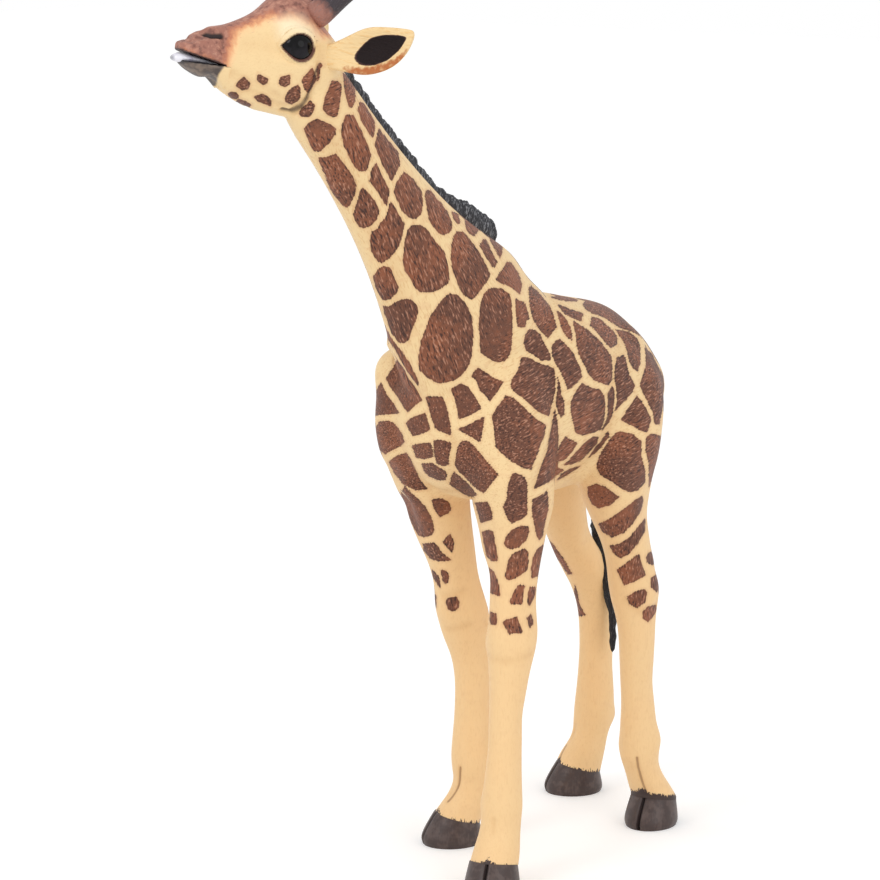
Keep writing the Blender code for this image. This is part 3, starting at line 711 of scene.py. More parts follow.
# The same for the thigh, stifle, hock and fetlock
REAR_MARKS = (
    (0.74, 1.0, -0.3, 9.0, 0.7),
    (0.62, 1.0, 0.6, 5.5, 0.8),
    (0.60, 0.9, -0.6, 5.0, -0.6),
    (0.52, 0.9, 0.0, 4.0, 0.4),
    (0.455, 0.9, -0.3, 3.2, -0.7),
    (0.455, -0.9, -0.3, 3.2, -0.7),
    (0.415, 0.0, -1.0, 3.2, 0.9),
    (0.395, 1.0, 0.3, 2.8, 0.5),
    (0.395, -1.0, 0.3, 2.8, 0.5),
    (0.25, 0.9, -0.3, 4.5, -0.35),
    (0.22, -0.9, -0.3, 4.5, -0.35),
    (0.140, 0.9, 0.2, 2.8, 0.4),
    (0.140, -0.9, 0.2, 2.8, 0.4),
    (0.125, 0.0, -1.0, 2.8, 1.0),
    (0.090, 0.0, -1.0, 2.4, -0.6),
    (0.088, 0.0, 1.0, 3.0, -0.45),
)
# The seam of neck and chest is smoothed away before the bulges are laid on
CHEST, CHEST_REACH = ORIGIN + Vector((0, -0.36 * BODY_LENGTH, 0.72 * BACK_HEIGHT)), 16 * MM
chest = lengths(read(hide) - CHEST)
relax(hide, 60, 0.6, np.exp(-((chest / CHEST_REACH) ** 2)), False)
marks = []
for leg in LEGS:
    rows = FRONT_MARKS if leg.startswith("front") else REAR_MARKS
    marks += [(beside(leg, *row[:3]), *row[3:]) for row in rows]
swell(hide, marks)
print("bulges and hollows:", len(marks))

# %% Outline
# Place in the picture, reach and push: chest, elbow, forelegs, back, rump, thighs and hocks
PULLS = (
    ("390,360", 6.0, 2.0),
    ("380,368", 5.5, 1.5),
    ("398,506", 4.5, -2.0),
    ("408,526", 4.5, -1.6),
    ("442,640", 6.0, 0.9),
    ("448,785", 6.0, -1.1),
    ("434,812", 4.0, -0.8),
    ("482,535", 5.0, -1.0),
    ("486,575", 4.5, -1.2),
    ("654,515", 6.0, -1.0),
    ("658,485", 6.0, -0.5),
    ("653,562", 3.0, 0.7),
    ("656,618", 5.0, -0.8),
    ("572,580", 7.0, -0.6),
)


CLOSE_PIXELS = 1.5


def seen_point(points, place):
    """The point that the camera sees nearest to a place in the picture."""
    x, y, depth = to_picture(points)
    away = np.hypot(x - place[0], y - place[1])
    return points[np.argmin(np.where(away < away.min() + CLOSE_PIXELS, depth, np.inf))]


points = read(hide)
swell(hide, [(seen_point(points, corners_of(pixels)[0]), reach, push) for pixels, reach, push in PULLS])
print("outline pulled in", len(PULLS), "places")

# %% Draw whole stretches sideways
# Place in the picture, reach and shift there in pixels, and reach in depth in millimetres
DRAWS = (
    ("635,326", 30, (-5, 5), 30),
    ("657,352", 22, (-4, 2), 30),
    ("531,274", 22, (-4, 4), 30),
    ("388,346", 7, (-4, 0), 10),
    ("386,466", 11, (4, 0), 8),
    ("392,481", 13, (7, 0), 8),
    ("402,503", 14, (3, 0), 8),
    ("444,802", 16, (3, 0), 8),
    ("648,515", 26, (-2, 0), 12),
    ("657,738", 12, (3, 0), 8),
    ("612,590", 36, (-6, 0), 7),
    ("603,590", 36, (7, 0), 9),
)


def draw(skin, stretches):
    """Moves stretches of a skin sideways as the camera sees them, front and back together."""
    for pixels, reach, (right, down), reach_in in stretches:
        points = read(skin)
        x, y, depth = to_picture(points)
        spot = corners_of(pixels)[0]
        away = ((x - spot[0]) ** 2 + (y - spot[1]) ** 2) / reach**2
        behind = (depth - to_picture(seen_point(points, spot)[None])[2]) / (reach_in * MM)
        shift = right * VIEW[:, 0] - down * VIEW[:, 1]
        write(skin, points + (np.exp(-away - behind**2) * depth / FOCAL)[:, None] * shift)


draw(hide, DRAWS)
print("stretches drawn:", len(DRAWS))

# %% Folds of the skin
# Line in the picture, width and push: neck tendon, windpipe, shoulder, elbow, chest, flank, thigh and belly
FOLDS = (
    ("318,150 345,210 372,265 388,320 398,352", 3.2, 0.45),
    ("330,140 360,205 392,268 408,330", 2.6, -0.40),
    ("388,345 396,360 408,378 420,394", 1.2, -0.30),
    ("512,300 520,335 512,372 500,398", 3.4, 0.55),
    ("553,372 556,400 554,430 546,458 536,484", 1.9, -0.60),
    ("452,440 453,462 452,482", 1.8, -0.50),
    ("412,482 430,488 452,492 472,496", 1.5, -0.35),
    ("478,492 500,486 520,470 534,452", 2.0, 0.35),
    ("567,475 585,464 603,447 614,420", 2.2, -0.50),
    ("620,340 614,372 612,402 604,436", 3.0, -0.40),
    ("640,420 630,455 612,480", 3.4, 0.45),
    ("486,600 500,606 520,606 534,602", 1.3, 0.30),
    ("486,622 505,626 532,622", 1.0, -0.25),
    ("488,655 505,662 530,655", 1.2, -0.22),
    ("432,590 445,596 462,592", 1.2, -0.25),
    ("434,622 448,630 468,625", 1.1, -0.22),
    ("625,600 640,612 656,604", 1.3, -0.25),
    ("637,758 638,780 638,802", 0.5, -0.35),
    ("460,768 459,785 455,800", 0.5, -0.40),
    ("573,728 571,745 566,760", 0.5, -0.40),
)
# Painted shade darkens the grooves, and most of all the thin ones
THIN_FOLD = 0.6
wash = np.zeros(len(hide.data.vertices))
body_tree = tree_of(hide)
for pixels, width, push in FOLDS:
    share = score(hide, on_skin(body_tree, pixels), width, push)
    if push < 0:
        wash = np.maximum(wash, share * (0.5 if width > THIN_FOLD else 1.2))
print("folds:", len(FOLDS))

# %% [markdown]
# ## From the leg into the hoof
#
# The last joint of the leg runs forwards and flares into the hoof's rim all round. The leg's end is drawn onto
# the oval of the hoof's top, more and more as it comes down, and the hair line over the hoof is kept as a value.

# %% Flare the legs into the hooves
FLARE, FOOT_REACH, FOOT_SHARE = 10.5 * MM, 11 * MM, 0.05
# The hair line peaks by this much, in millimetres, over the front of the hoof
PEAK = 1.3
FAR_FROM_HOOF = 9.0
RIM_LENGTH, RIM_WIDTH, RIM_BACK = 0.365 * HOOF_LENGTH, 0.435 * HOOF_WIDTH, 0.085 * HOOF_LENGTH
hoof_line = np.full(len(hide.data.vertices), FAR_FROM_HOOF)
points = read(hide)
for leg in LEGS:
    own = in_frame(points, foot_frame(leg))
    foot_middle = in_frame(np.array([leg_centre(leg, FOOT_SHARE) + ORIGIN]), foot_frame(leg))[0]
    near = np.hypot(own[:, 0] - foot_middle[0], own[:, 1] - foot_middle[1]) < FOOT_REACH
    coronet = coronet_frame(leg)
    above = (points - coronet.translation) @ (coronet.to_3x3() @ UP)
    near &= above < FLARE
    height_part = np.clip(above[near] / FLARE, 0, 1)
    share = ((1 - height_part) ** 1.6)[:, None]
    turn = np.arctan2(own[near, 1] - foot_middle[1], own[near, 0] - foot_middle[0])
    rim = np.stack([RIM_WIDTH * np.cos(turn), RIM_BACK + RIM_LENGTH * np.sin(turn), own[near, 2]], 1)
    own[near] += share * (rim - own[near])
    points[near] = from_frame(own[near], foot_frame(leg))
    peak = PEAK * np.exp(-((own[near, 0] / (PEAK * MM)) ** 2)) * (own[near, 1] < 0)
    hoof_line[near] = np.clip(above[near] / MM - peak, -2, FAR_FROM_HOOF)
write(hide, points)
relax(hide, 6, 0.5, step(FAR_FROM_HOOF, 5, hoof_line) * step(0.3, 1.5, hoof_line), False)
# A short crease runs down the front of each pastern, at these heights
PASTERN_SHARES = (0.115, 0.10, 0.085, 0.075)
# Each pastern crease is darkened with painted shade as well
for crease in [[np.array(beside(leg, height, 0, 1)) for height in PASTERN_SHARES] for leg in LEGS]:
    wash = np.maximum(wash, 0.5 * score(hide, crease, 0.7, -0.25))
print("rims of the hooves:", int((hoof_line < 1).sum()), "points")

# %% [markdown]
# ## The head
#
# The head carries the finest work, so it is melted again from the same lumps with smaller voxels. Eyelids are
# laid on as thin ropes of clay before the melting, so they grow out of the skin. The head has to meet the neck
# exactly, so its points near the seam are laid onto the body's skin.


# %% Ropes of clay
def rope(name, points, radii, sides=8, closed=False):
    """A round rope through points, as thick as its radii say."""
    rings = []
    count = len(points)
    for at, (point, radius) in enumerate(zip(points, radii)):
        if closed:
            along = points[(at + 1) % count] - points[at - 1]
        else:
            along = points[min(at + 1, count - 1)] - points[max(at - 1, 0)]
        across = along.cross(UP)
        if across.length < 1e-3 * along.length:
            across = along.cross(ACROSS)
        across = across.normalized()
        upward = across.cross(along).normalized()
        rings.append(ring(point, across, upward, radius, radius, radius, sides))
    return skin_of(name, rings, True) if closed else loft(name, rings, Matrix(), 1)


# %% Eyes and their lids
EYE_RADIUS = 4.2 * MM
EYE_SHARES = (0.365, 0.335, 0.452)
LID_POINTS = 28
# The lids open into an almond with a pointed front corner. In millimetres: its reach ahead, back, above and under
EYE_AHEAD, EYE_BACK, EYE_ABOVE, EYE_UNDER, EYE_SKEW = 4.5, 3.5, 3.3, 3.35, 0.06


def eye_centre(side):
    across, along, height = EYE_SHARES
    return HEAD @ head_place(side * across, along, height)


def lid_point(side, turn, reach):
    """A point of the lid's rim: turn 0 is the front corner, a quarter turn is the top."""
    forwards = math.cos(turn)
    ahead = (EYE_AHEAD if forwards > 0 else EYE_BACK) * forwards * MM
    rise = math.copysign(1 - forwards**2.1, math.sin(turn)) if forwards > 0 else math.sin(turn)
    high = (EYE_ABOVE if rise > 0 else EYE_UNDER) * rise * MM + EYE_SKEW * ahead
    out = math.sqrt(max((EYE_RADIUS + reach) ** 2 - ahead**2 - high**2, (0.25 * EYE_RADIUS) ** 2))
    return eye_centre(side) + head_turn @ Vector((side * out, -ahead, high))


def lid(side):
    """A closed rope of clay round the eye, thicker above it."""
    turns = [math.tau * at / LID_POINTS for at in range(LID_POINTS)]
    points = [lid_point(side, turn, 0.15 * MM) for turn in turns]
    radii = [(0.52 + 0.10 * math.sin(turn)) * MM for turn in turns]
    return rope("lid", points, radii, closed=True)


HEAD_VOXEL = 0.3 * MM
neck_top = [neck_ring(row) for row in NECK_SHARES if row[0] > 0.3]
head = remesh("head_form", [*head_lumps(), loft("neck_top", neck_top, NECK), lid(1), lid(-1)], HEAD_VOXEL)
relax(head, 4)
for rounds in (60, 30):
    crease = creases(head, HEAD_VOXEL, 16, 2.0)
    for side in (1, -1):
        crease *= step(5 * MM, 7 * MM, lengths(read(head) - eye_centre(side)))
    relax(head, rounds, 0.6, crease, False)
print("head:", len(head.data.vertices), "points")


# %% Meet the neck
def lay_on(skin, tree, weight):
    """Draws a skin's points onto another skin, as far as the weight says."""
    points = read(skin)
    for at in np.nonzero(weight > 0)[0]:
        found = tree.find_nearest(points[at])[0]
        if found is not None:
            points[at] += weight[at] * (np.array(found) - points[at])
    write(skin, points)


body_tree = tree_of(hide)
above = in_frame(read(head), NECK)[:, 2] - HEAD_SEAM
lay_on(head, body_tree, 1 - step(1.0 * MM, 5.0 * MM, np.abs(above)))
seam_point, seam_normal = NECK @ (UP * HEAD_SEAM), NECK.to_3x3() @ UP
head = keep_ahead(head, seam_point, seam_normal)
print("head over the seam:", len(head.data.vertices), "points")

# %% [markdown]
# ## Jaw, tongue and eyes
#
# The jaw is the front of the head's loft, cut off under the lower lip and melted so that the lip is rounded.
# The tongue is a thin soft leaf that comes out of the mouth's corner. The eyes are balls of glossy black.

# %% Jaw
jaw = loft("lower_jaw_form", [head_ring(row) for row in HEAD_SHARES if row[0] >= 0.47], HEAD)
jaw = keep_ahead(jaw, corner, -lower_lip_up)
jaw = keep_ahead(jaw, corner + lower_lip_back * (1.2 * MM), -lower_lip_back)
jaw = remesh("jaw_form", [jaw], 0.25 * MM)
relax(jaw, 3)
relax(jaw, 3, keep_size=False)
print("jaw:", len(jaw.data.vertices), "points")

# %% Tongue
TONGUE_LENGTH, TONGUE_WIDTH, TONGUE_THICKNESS, TONGUE_SLOPE = 11.6 * MM, 5 * MM, 2.6 * MM, 14.0
# Place along, half width and half thickness
TONGUE_SHARES = (
    (-0.30, 0.40, 0.14),
    (0.00, 0.45, 0.14),
    (0.25, 0.50, 0.16),
    (0.60, 0.50, 0.36),
    (0.82, 0.46, 0.48),
    (0.94, 0.32, 0.34),
    (1.00, 0.14, 0.12),
)
MOUTH = placed(corner, (0, 0, -HEAD_YAW))


def tongue_ring(row):
    along, half_width, half_thickness = row
    slope = Matrix.Rotation(math.radians(-TONGUE_SLOPE), 3, "X")
    centre = slope @ BACK * (-along * TONGUE_LENGTH) - UP * (max(along - 0.7, 0) * 2.6 * MM)
    thick = half_thickness * TONGUE_THICKNESS
    return ring(centre, ACROSS, slope @ UP, half_width * TONGUE_WIDTH, thick, thick, 8)


tongue = loft("tongue_form", [tongue_ring(row) for row in TONGUE_SHARES], MOUTH)
print("the tongue's tip is at", in_mm(MOUTH @ (BACK * -TONGUE_LENGTH)))


# %% Eyes
def ball(name, radius, centre):
    shape = bmesh.new()
    bmesh.ops.create_icosphere(shape, subdivisions=5, radius=radius, matrix=Matrix.Translation(centre))
    made = new_object(name, shape)
    made.data.shade_smooth()
    return made


eyes = {side: ball("eye_form", EYE_RADIUS, eye_centre(side)) for side in (1, -1)}
print("eyes:", len(eyes))

# %% [markdown]
# ## Ears and horns
#
# The real ears are thin hollow leaves, and the horns are blunt stubs. Each is a loft that grows along its own
# direction, because a remesh would eat the ear's thin edge. One side is drawn and the other is its mirror image.

# %% Ears
def way(direction, side):
    """A direction of the head's left side, and its mirror image on the right side."""
    return Vector(direction).normalized() * Vector((side, 1, 1))


def root(shares, side):
    return head_place(*shares) * Vector((side, 1, 1))


EAR_LENGTH, EAR_WIDTH, EAR_DEPTH = 23 * MM, 10.8 * MM, 4.6 * MM
EAR_ROOT_SHARES, EAR_DIRECTION, EAR_FACING = (0.37, 0.158, 0.355), (0.74, 0.66, 0.16), (0.67, -0.74, 0.05)
# Place along, half width, half depth, how far the front is hollowed, and the bend upwards
EAR_SHARES = (
    (-0.14, 0.20, 0.32, 0.0, 0.02),
    (0.04, 0.24, 0.36, 0.1, 0.00),
    (0.20, 0.33, 0.46, 0.8, -0.02),
    (0.38, 0.46, 0.50, 1.4, -0.03),
    (0.52, 0.50, 0.48, 1.5, 0.00),
    (0.68, 0.45, 0.44, 1.4, 0.00),
    (0.82, 0.35, 0.36, 1.1, 0.04),
    (0.93, 0.21, 0.26, 0.5, 0.12),
    (1.00, 0.06, 0.14, 0.0, 0.22),
)


def ear_ring(row, side):
    along, half_width, half_depth, hollow, bend = row
    reach, facing = way(EAR_DIRECTION, side), way(EAR_FACING, side)
    across = reach.cross(facing)
    centre = root(EAR_ROOT_SHARES, side) + reach * (along * EAR_LENGTH) - across * (side * bend * EAR_WIDTH)
    made = []
    for point in ring(Vector(), ACROSS, UP, 1, 1, 1, 14):
        lift = point.z if point.z < 0 else point.z * (1 - hollow * (1 - min(abs(point.x), 1) ** 2.5))
        made.append(centre + across * (point.x * half_width * EAR_WIDTH) + facing * (lift * half_depth * EAR_DEPTH))
    return made


ears = {side: loft("ear_form", [ear_ring(row, side) for row in EAR_SHARES], HEAD) for side in (1, -1)}
print("ears:", len(ears))

# %% Horns
HORN_LENGTH, HORN_RADIUS = 15 * MM, 2.9 * MM
HORN_ROOT_SHARES, HORN_DIRECTION = (0.29, 0.165, 0.690), (0.10, 0.78, 0.64)
# Place along and radius
HORN_SHARES = ((-0.20, 1.08), (0.05, 1.10), (0.35, 0.98), (0.62, 0.98), (0.85, 1.06), (0.97, 0.70))


def horn_ring(row, side):
    along, radius = row
    reach = way(HORN_DIRECTION, side)
    centre = root(HORN_ROOT_SHARES, side) + reach * (along * HORN_LENGTH)
    size = radius * HORN_RADIUS
    return ring(centre, ACROSS, reach.cross(ACROSS), size, size, size, 6)


horns = {side: loft("horn_form", [horn_ring(row, side) for row in HORN_SHARES], HEAD, 4) for side in (1, -1)}
print("horns:", len(horns))

# %% [markdown]
# ## Mane, tail and hooves
#
# Mane and tuft are moulded solid, with a surface that reads as coarse hair. They are remeshed finely, so that
# noise which is stretched along the hair can lift their points into clumps. The hooves are lofts with a flat sole.

# %% Mane
MANE_WIDTH, MANE_HEIGHT, MANE_SEAT = 3.6 * MM, 3.2 * MM, 1.6 * MM
# Place along and height
MANE_SHARES = (
    (0.05, 1.00),
    (0.12, 1.75),
    (0.24, 1.70),
    (0.34, 0.80),
    (0.42, 0.74),
    (0.60, 0.85),
    (0.80, 0.85),
    (0.98, 0.80),
    (1.07, 0.75),
)


def mane_ring(row):
    along, height = row
    crest_share = row_at(NECK_SHARES, along)[2]
    crest = UP * (along * NECK_LENGTH) + BACK * (crest_share * NECK_DEPTH)
    return ring(crest, ACROSS, BACK, MANE_WIDTH / 2, height * MANE_HEIGHT, MANE_SEAT, 6)


mane = remesh("mane_form", [loft("mane_loft", [mane_ring(row) for row in MANE_SHARES], NECK)], 0.3 * MM)
relax(mane, 4)


def tuft_up(skin, place, lean, clump, push):
    """Roughens hair into clumps that lean along an axis; clump is their width and push their height in millimetres."""
    own = in_frame(read(skin), place)
    slanted = own[:, 2] + lean * own[:, 1]
    lift = np.empty(len(own))
    for at, (across, along) in enumerate(zip(own[:, 0] / MM, slanted / MM)):
        big = noise.noise(Vector((across * 0.25, along / clump, 3.1)))
        fine = noise.noise(Vector((across * 0.9, along * 2.6 / clump, 8.7)))
        lift[at] = big + 0.6 * fine
    write(skin, read(skin) + read(skin, "normal") * (lift * push * MM)[:, None])


tuft_up(mane, NECK, -0.9, 1.5, 0.75)
print("mane:", len(mane.data.vertices), "points")

# %% Tail and tuft
TAIL_LENGTH, TAIL_RADIUS, TUFT_LENGTH, TUFT_WALL = 60 * MM, 1.8 * MM, 42 * MM, 0.8 * MM
TAIL_REACH = 7.091 * MM
# Fall, swing backwards, swing sideways and radius
TAIL_SHARES = (
    (0.02, -0.070, 0.000, 1.25),
    (0.05, 0.000, 0.000, 1.15),
    (0.12, 0.060, 0.000, 1.05),
    (0.25, 0.125, -0.254, 0.92),
    (0.55, 0.110, -0.931, 0.80),
    (0.86, 0.080, -1.720, 0.74),
    (0.92, 0.075, -1.770, 0.70),
)
TUFT_SHARES = (
    (0.00, 0.000, 0.000, 0.62),
    (0.08, 0.000, -0.140, 0.92),
    (0.14, -0.010, -0.260, 1.05),
    (0.24, -0.010, -0.160, 1.08),
    (0.42, -0.020, 0.320, 1.00),
    (0.60, -0.025, 0.640, 0.84),
    (0.82, -0.030, 0.670, 0.58),
    (0.98, -0.030, 0.620, 0.22),
)
tail_root = Vector((0, 0.925 * BODY_LENGTH - BODY_FRONT, 0.825 * BACK_HEIGHT)) + ORIGIN


def hanging(root, row, length):
    """A point of the tail or its tuft below a root."""
    fall, swing, side, _ = row
    return root + Vector((side * TAIL_REACH, swing * length, -fall * length))


tail_points = [hanging(tail_root, row, TAIL_LENGTH) for row in TAIL_SHARES]
tail = rope("tail_form", tail_points, [row[3] * TAIL_RADIUS for row in TAIL_SHARES], 6)
tuft_root = hanging(tail_root, TAIL_SHARES[-2], TAIL_LENGTH)
tuft_points = [hanging(tuft_root, row, TUFT_LENGTH) for row in TUFT_SHARES]
tuft = rope("tuft_form", tuft_points, [row[3] * (TAIL_RADIUS + TUFT_WALL) for row in TUFT_SHARES], 6)
tuft = remesh("tuft_form", [tuft], 0.25 * MM)
relax(tuft, 4)
own = in_frame(read(tuft), placed(tuft_root))
turn = np.arctan2(own[:, 1], own[:, 0]) * 5 + own[:, 2] / (3.5 * MM)
write(tuft, read(tuft) + read(tuft, "normal") * (np.sin(turn) * 0.16 * MM)[:, None])
tuft_up(tuft, placed(tuft_root), 0.2, 5.0, 0.5)
print("tuft:", len(tuft.data.vertices), "points")

# %% Hooves
# Height, half length, half width and shift forwards
HOOF_SHARES = (
    (-0.45, 0.40, 0.40, 0.000),
    (0.00, 0.462, 0.462, 0.000),
    (0.12, 0.492, 0.492, 0.000),
    (0.28, 0.492, 0.495, -0.006),
    (0.60, 0.438, 0.470, -0.040),
    (0.93, 0.377, 0.440, -0.078),
    (0.985, 0.365, 0.435, -0.085),
    (1.00, 0.34, 0.41, -0.085),
    (1.00, 0.10, 0.12, -0.085),
)


def hoof_ring(row):
    height, half_length, half_width, shift = row
    tilt = Matrix.Rotation(math.radians(-HOOF_SLOPE * max(height, 0)), 3, "X")
    centre = Vector((0, -shift * HOOF_LENGTH, height * (HOOF_HEIGHT - 0.05 * MM)))
    half = half_length * HOOF_LENGTH
    return ring(centre, ACROSS, tilt @ BACK, half_width * HOOF_WIDTH, half, half, 10)


hooves = {}
for leg in LEGS:
    hoof = loft(leg + "_hoof_form", [hoof_ring(row) for row in HOOF_SHARES], foot_frame(leg), 4)
    hooves[leg] = keep_ahead(hoof, Vector(), UP)
print("hooves:", len(hooves))

# %% [markdown]
# ## The face
#
# The face is a giraffe's: a long upper lip, slit nostrils, large eyes under a brow, and a fold where the jaw
# meets the throat. The head turns away from the camera, so only its left cheek shows. Each line is therefore
# found on that cheek and mirrored to the other one in the head's own frame.


# %% Mirrored lines
def mirrored(line):
    """A line's mirror image on the other cheek."""
    return list(from_frame(in_frame(np.array(line), HEAD) * (-1, 1, 1), HEAD))


# %% Set the eyes into the skin
OTHER_CHEEK = 9.0


def almond(points, side):
    """How far points lie from an eye's middle: 1 is the rim of the lids. Also their height over the middle."""
    own = (points - eye_centre(side)) @ head_turn
    ahead, high = -own[:, 1] / MM, own[:, 2] / MM
    rise = np.abs(high - EYE_SKEW * ahead) / np.where(high > 0, EYE_ABOVE, EYE_UNDER)
    share = np.where(ahead > 0, np.maximum(ahead, 0) / EYE_AHEAD, -ahead / EYE_BACK)
    rim = np.where(ahead > 0, share**2.1 + rise, np.hypot(share, rise))
    return np.where(own[:, 0] * side > 0, rim, OTHER_CHEEK), high


# Inside the lids the skin sinks under the ball's surface, and outside them it stays over it
SUNK, RAISED = EYE_RADIUS - 0.35 * MM, EYE_RADIUS + 0.3 * MM
points = read(head)
for side in (1, -1):
    away = points - eye_centre(side)
    distance = lengths(away)
    rim = almond(points, side)[0]
    opening = rim < 0.95
    target = np.where(opening, np.minimum(distance, SUNK), np.maximum(distance, RAISED))
    share = np.where(opening, 1 - step(0.84, 0.91, rim), rim < OTHER_CHEEK)
    points += away / distance[:, None] * ((target - distance) * share)[:, None]
    print("points over an eye:", int(opening.sum()))
write(head, points)

# %% Shape the face
# Line in the picture, width and push: nostril and its wing, lip, brow, cheek bone, jaw fold, cheek folds, temple
FACE_LINES = (
    ("205,31 212,33 220,33", 1.4, -1.50),
    ("199,31 210,28 222,28 225,34", 1.00, 0.15),
    ("187,36 190,41 197,47", 0.80, -0.40),
    ("200,42 208,40 218,41", 0.9, 0.4),
    ("188,40 200,38 214,41 223,46", 0.90, -0.35),
    ("182,44 196,48 210,51 222,58", 0.90, 0.40),
    ("226,34 227,46 225,58", 1.10, -0.35),
    ("281,33 290,29 300,28 311,33 316,41", 1.80, 0.55),
    ("262,52 275,60 290,67 306,68 318,62", 1.80, 0.45),
    ("232,40 250,44 270,46", 2.40, -0.30),
    ("283,113 290,114 300,108 308,98 313,86 317,72 319,64", 0.75, -0.72),
    ("228,72 245,80 262,88 280,99", 1.10, -0.35),
    ("240,92 256,93 270,103 283,108", 1.00, -0.45),
    ("276,14 279,24 274,36", 0.90, -0.25),
    ("316,40 321,50 320,60", 1.60, -0.40),
    ("300,110 316,118 334,120 350,114", 1.30, -0.25),
)
head_tree = tree_of(head)
# The grooves of the face, the nostrils among them, are darkened with painted shade
face_crease_shade = np.zeros(len(head.data.vertices))
for pixels, width, push in FACE_LINES:
    line = on_skin(head_tree, pixels)
    for twin in (line, mirrored(line)):
        share = score(head, twin, width, push)
        if push < 0:
            face_crease_shade = np.maximum(face_crease_shade, share * min(1.0, -push))
# The back of the skull falls away under the horns, and the forehead and throat are drawn in
swell(head, [(HEAD @ head_place(side * 0.2, 0.03, 0.62), 4.5, -2.4) for side in (1, -1)])
for pixels, reach, push in (("329,24", 3.5, -1.1), ("256,10", 5.0, -0.35), ("275,114", 6.0, -0.6)):
    near = seen_point(read(head), corners_of(pixels)[0])
    swell(head, [(near, reach, push), (mirrored([near])[0], reach, push)])
print("face lines:", len(FACE_LINES) * 2)

# %% Trim the chin
# The chin ends in a small beard, and the throat starts behind it. In the picture: the lower line of chin and throat
SQUEEZED_PIXELS = 9
THROAT_LINE = "176,64 182,67 190,73 198,77.5 208,77.5 214,81 220,88 226,95 232,99.5 238,103 244,106"


def twin_look(points):
    """Where the camera sees each point of the head, or its twin on the left cheek."""
    twin = in_frame(points, HEAD)
    twin[:, 0] = np.abs(twin[:, 0])
    return from_frame(twin, HEAD)


def trim(skin):
    """Lifts what hangs below the line of chin and throat, and squeezes the few pixels above it."""
    points = read(skin)
    x, y, depth = to_picture(twin_look(points))
    places = np.arange(170, 262)
    lowest = np.interp(x, places, [np.max(y, where=np.abs(x - at) < 2, initial=0) for at in places])
    line = np.interp(x, *corners_of(THROAT_LINE).T)
    share = np.clip((y - line + SQUEEZED_PIXELS) / np.maximum(lowest - line + SQUEEZED_PIXELS, 1), 0, 1)
    rise = share * np.maximum(lowest - line, 0) * step(256, 240, x) * depth / FOCAL
    write(skin, points + np.array(lower_lip_up) * rise[:, None])
    return float(rise.max() / MM)


print("chin and throat raised by up to", round(trim(jaw), 1), "and", round(trim(head), 1), "mm")
relax(jaw, 2, keep_size=False)

# %% [markdown]
# ## Marks for the small parts' paints
#
# The hollow of the ear, the tip of the tongue, the height on a horn and the cleft of a hoof are kept as values
# on the points, so that their paints know where they are.

# %% Keep values on a skin
def keep(skin, name, values):
    """Keeps a value on each point, for a material to read."""
    layer = skin.data.attributes.new(name, "FLOAT", "POINT")
    layer.data.foreach_set("value", np.asarray(values, np.float32))


# %% Marks on the ears
# The dark hollow is an oval leaf: its middle and half size along the ear, its half width and its slant
LEAF_MIDDLE, LEAF_REACH, LEAF_WIDTH, LEAF_SLANT = 0.62, 0.31, 0.68, 0.13
places, half_widths, _, _, bends = np.array(EAR_SHARES).T
for side, ear in ears.items():
    reach, facing = way(EAR_DIRECTION, side), way(EAR_FACING, side)
    own = in_frame(read(ear), HEAD) - root(EAR_ROOT_SHARES, side)
    along = own @ reach / EAR_LENGTH
    across = own @ reach.cross(facing).normalized() * side / EAR_WIDTH
    slant = (across + np.interp(along, places, bends)) / np.interp(along, places, half_widths)
    front = step(0.05, 0.35, (read(ear, "normal") @ head_turn) @ facing)
    leaf = np.hypot((along + LEAF_SLANT * slant - LEAF_MIDDLE) / LEAF_REACH, slant / LEAF_WIDTH)
    keep(ear, "cavity", front * (1 - step(0.82, 1.0, leaf)) * 1.15)
    keep(ear, "blush", front * step(0.35, 0.8, slant) * step(0.1, 0.3, along) * (1 - step(0.85, 0.98, along)))

# %% Marks on horns and tongue
for side, horn in horns.items():
    own = in_frame(read(horn), HEAD) - root(HORN_ROOT_SHARES, side)
    keep(horn, "up_horn", own @ way(HORN_DIRECTION, side) / HORN_LENGTH)
keep(tongue, "tip", step(0.90, 0.98, -in_frame(read(tongue), MOUTH)[:, 1] / TONGUE_LENGTH))

# %% Cleft of the hooves
CLEFT_WIDTH, CLEFT_DEPTH = 0.42 * MM, 1.1 * MM
for leg, hoof in hooves.items():
    own = in_frame(read(hoof), foot_frame(leg))
    cleft = np.exp(-((own[:, 0] / CLEFT_WIDTH) ** 2)) * step(1.0, 4.5, -own[:, 1] / MM)
    keep(hoof, "cleft", cleft)
    own[:, 1] += cleft * CLEFT_DEPTH * step(-0.1, 0.4, own[:, 2] / MM)
    write(hoof, from_frame(own, foot_frame(leg)))
print("marks kept on ears, horns, tongue and hooves")
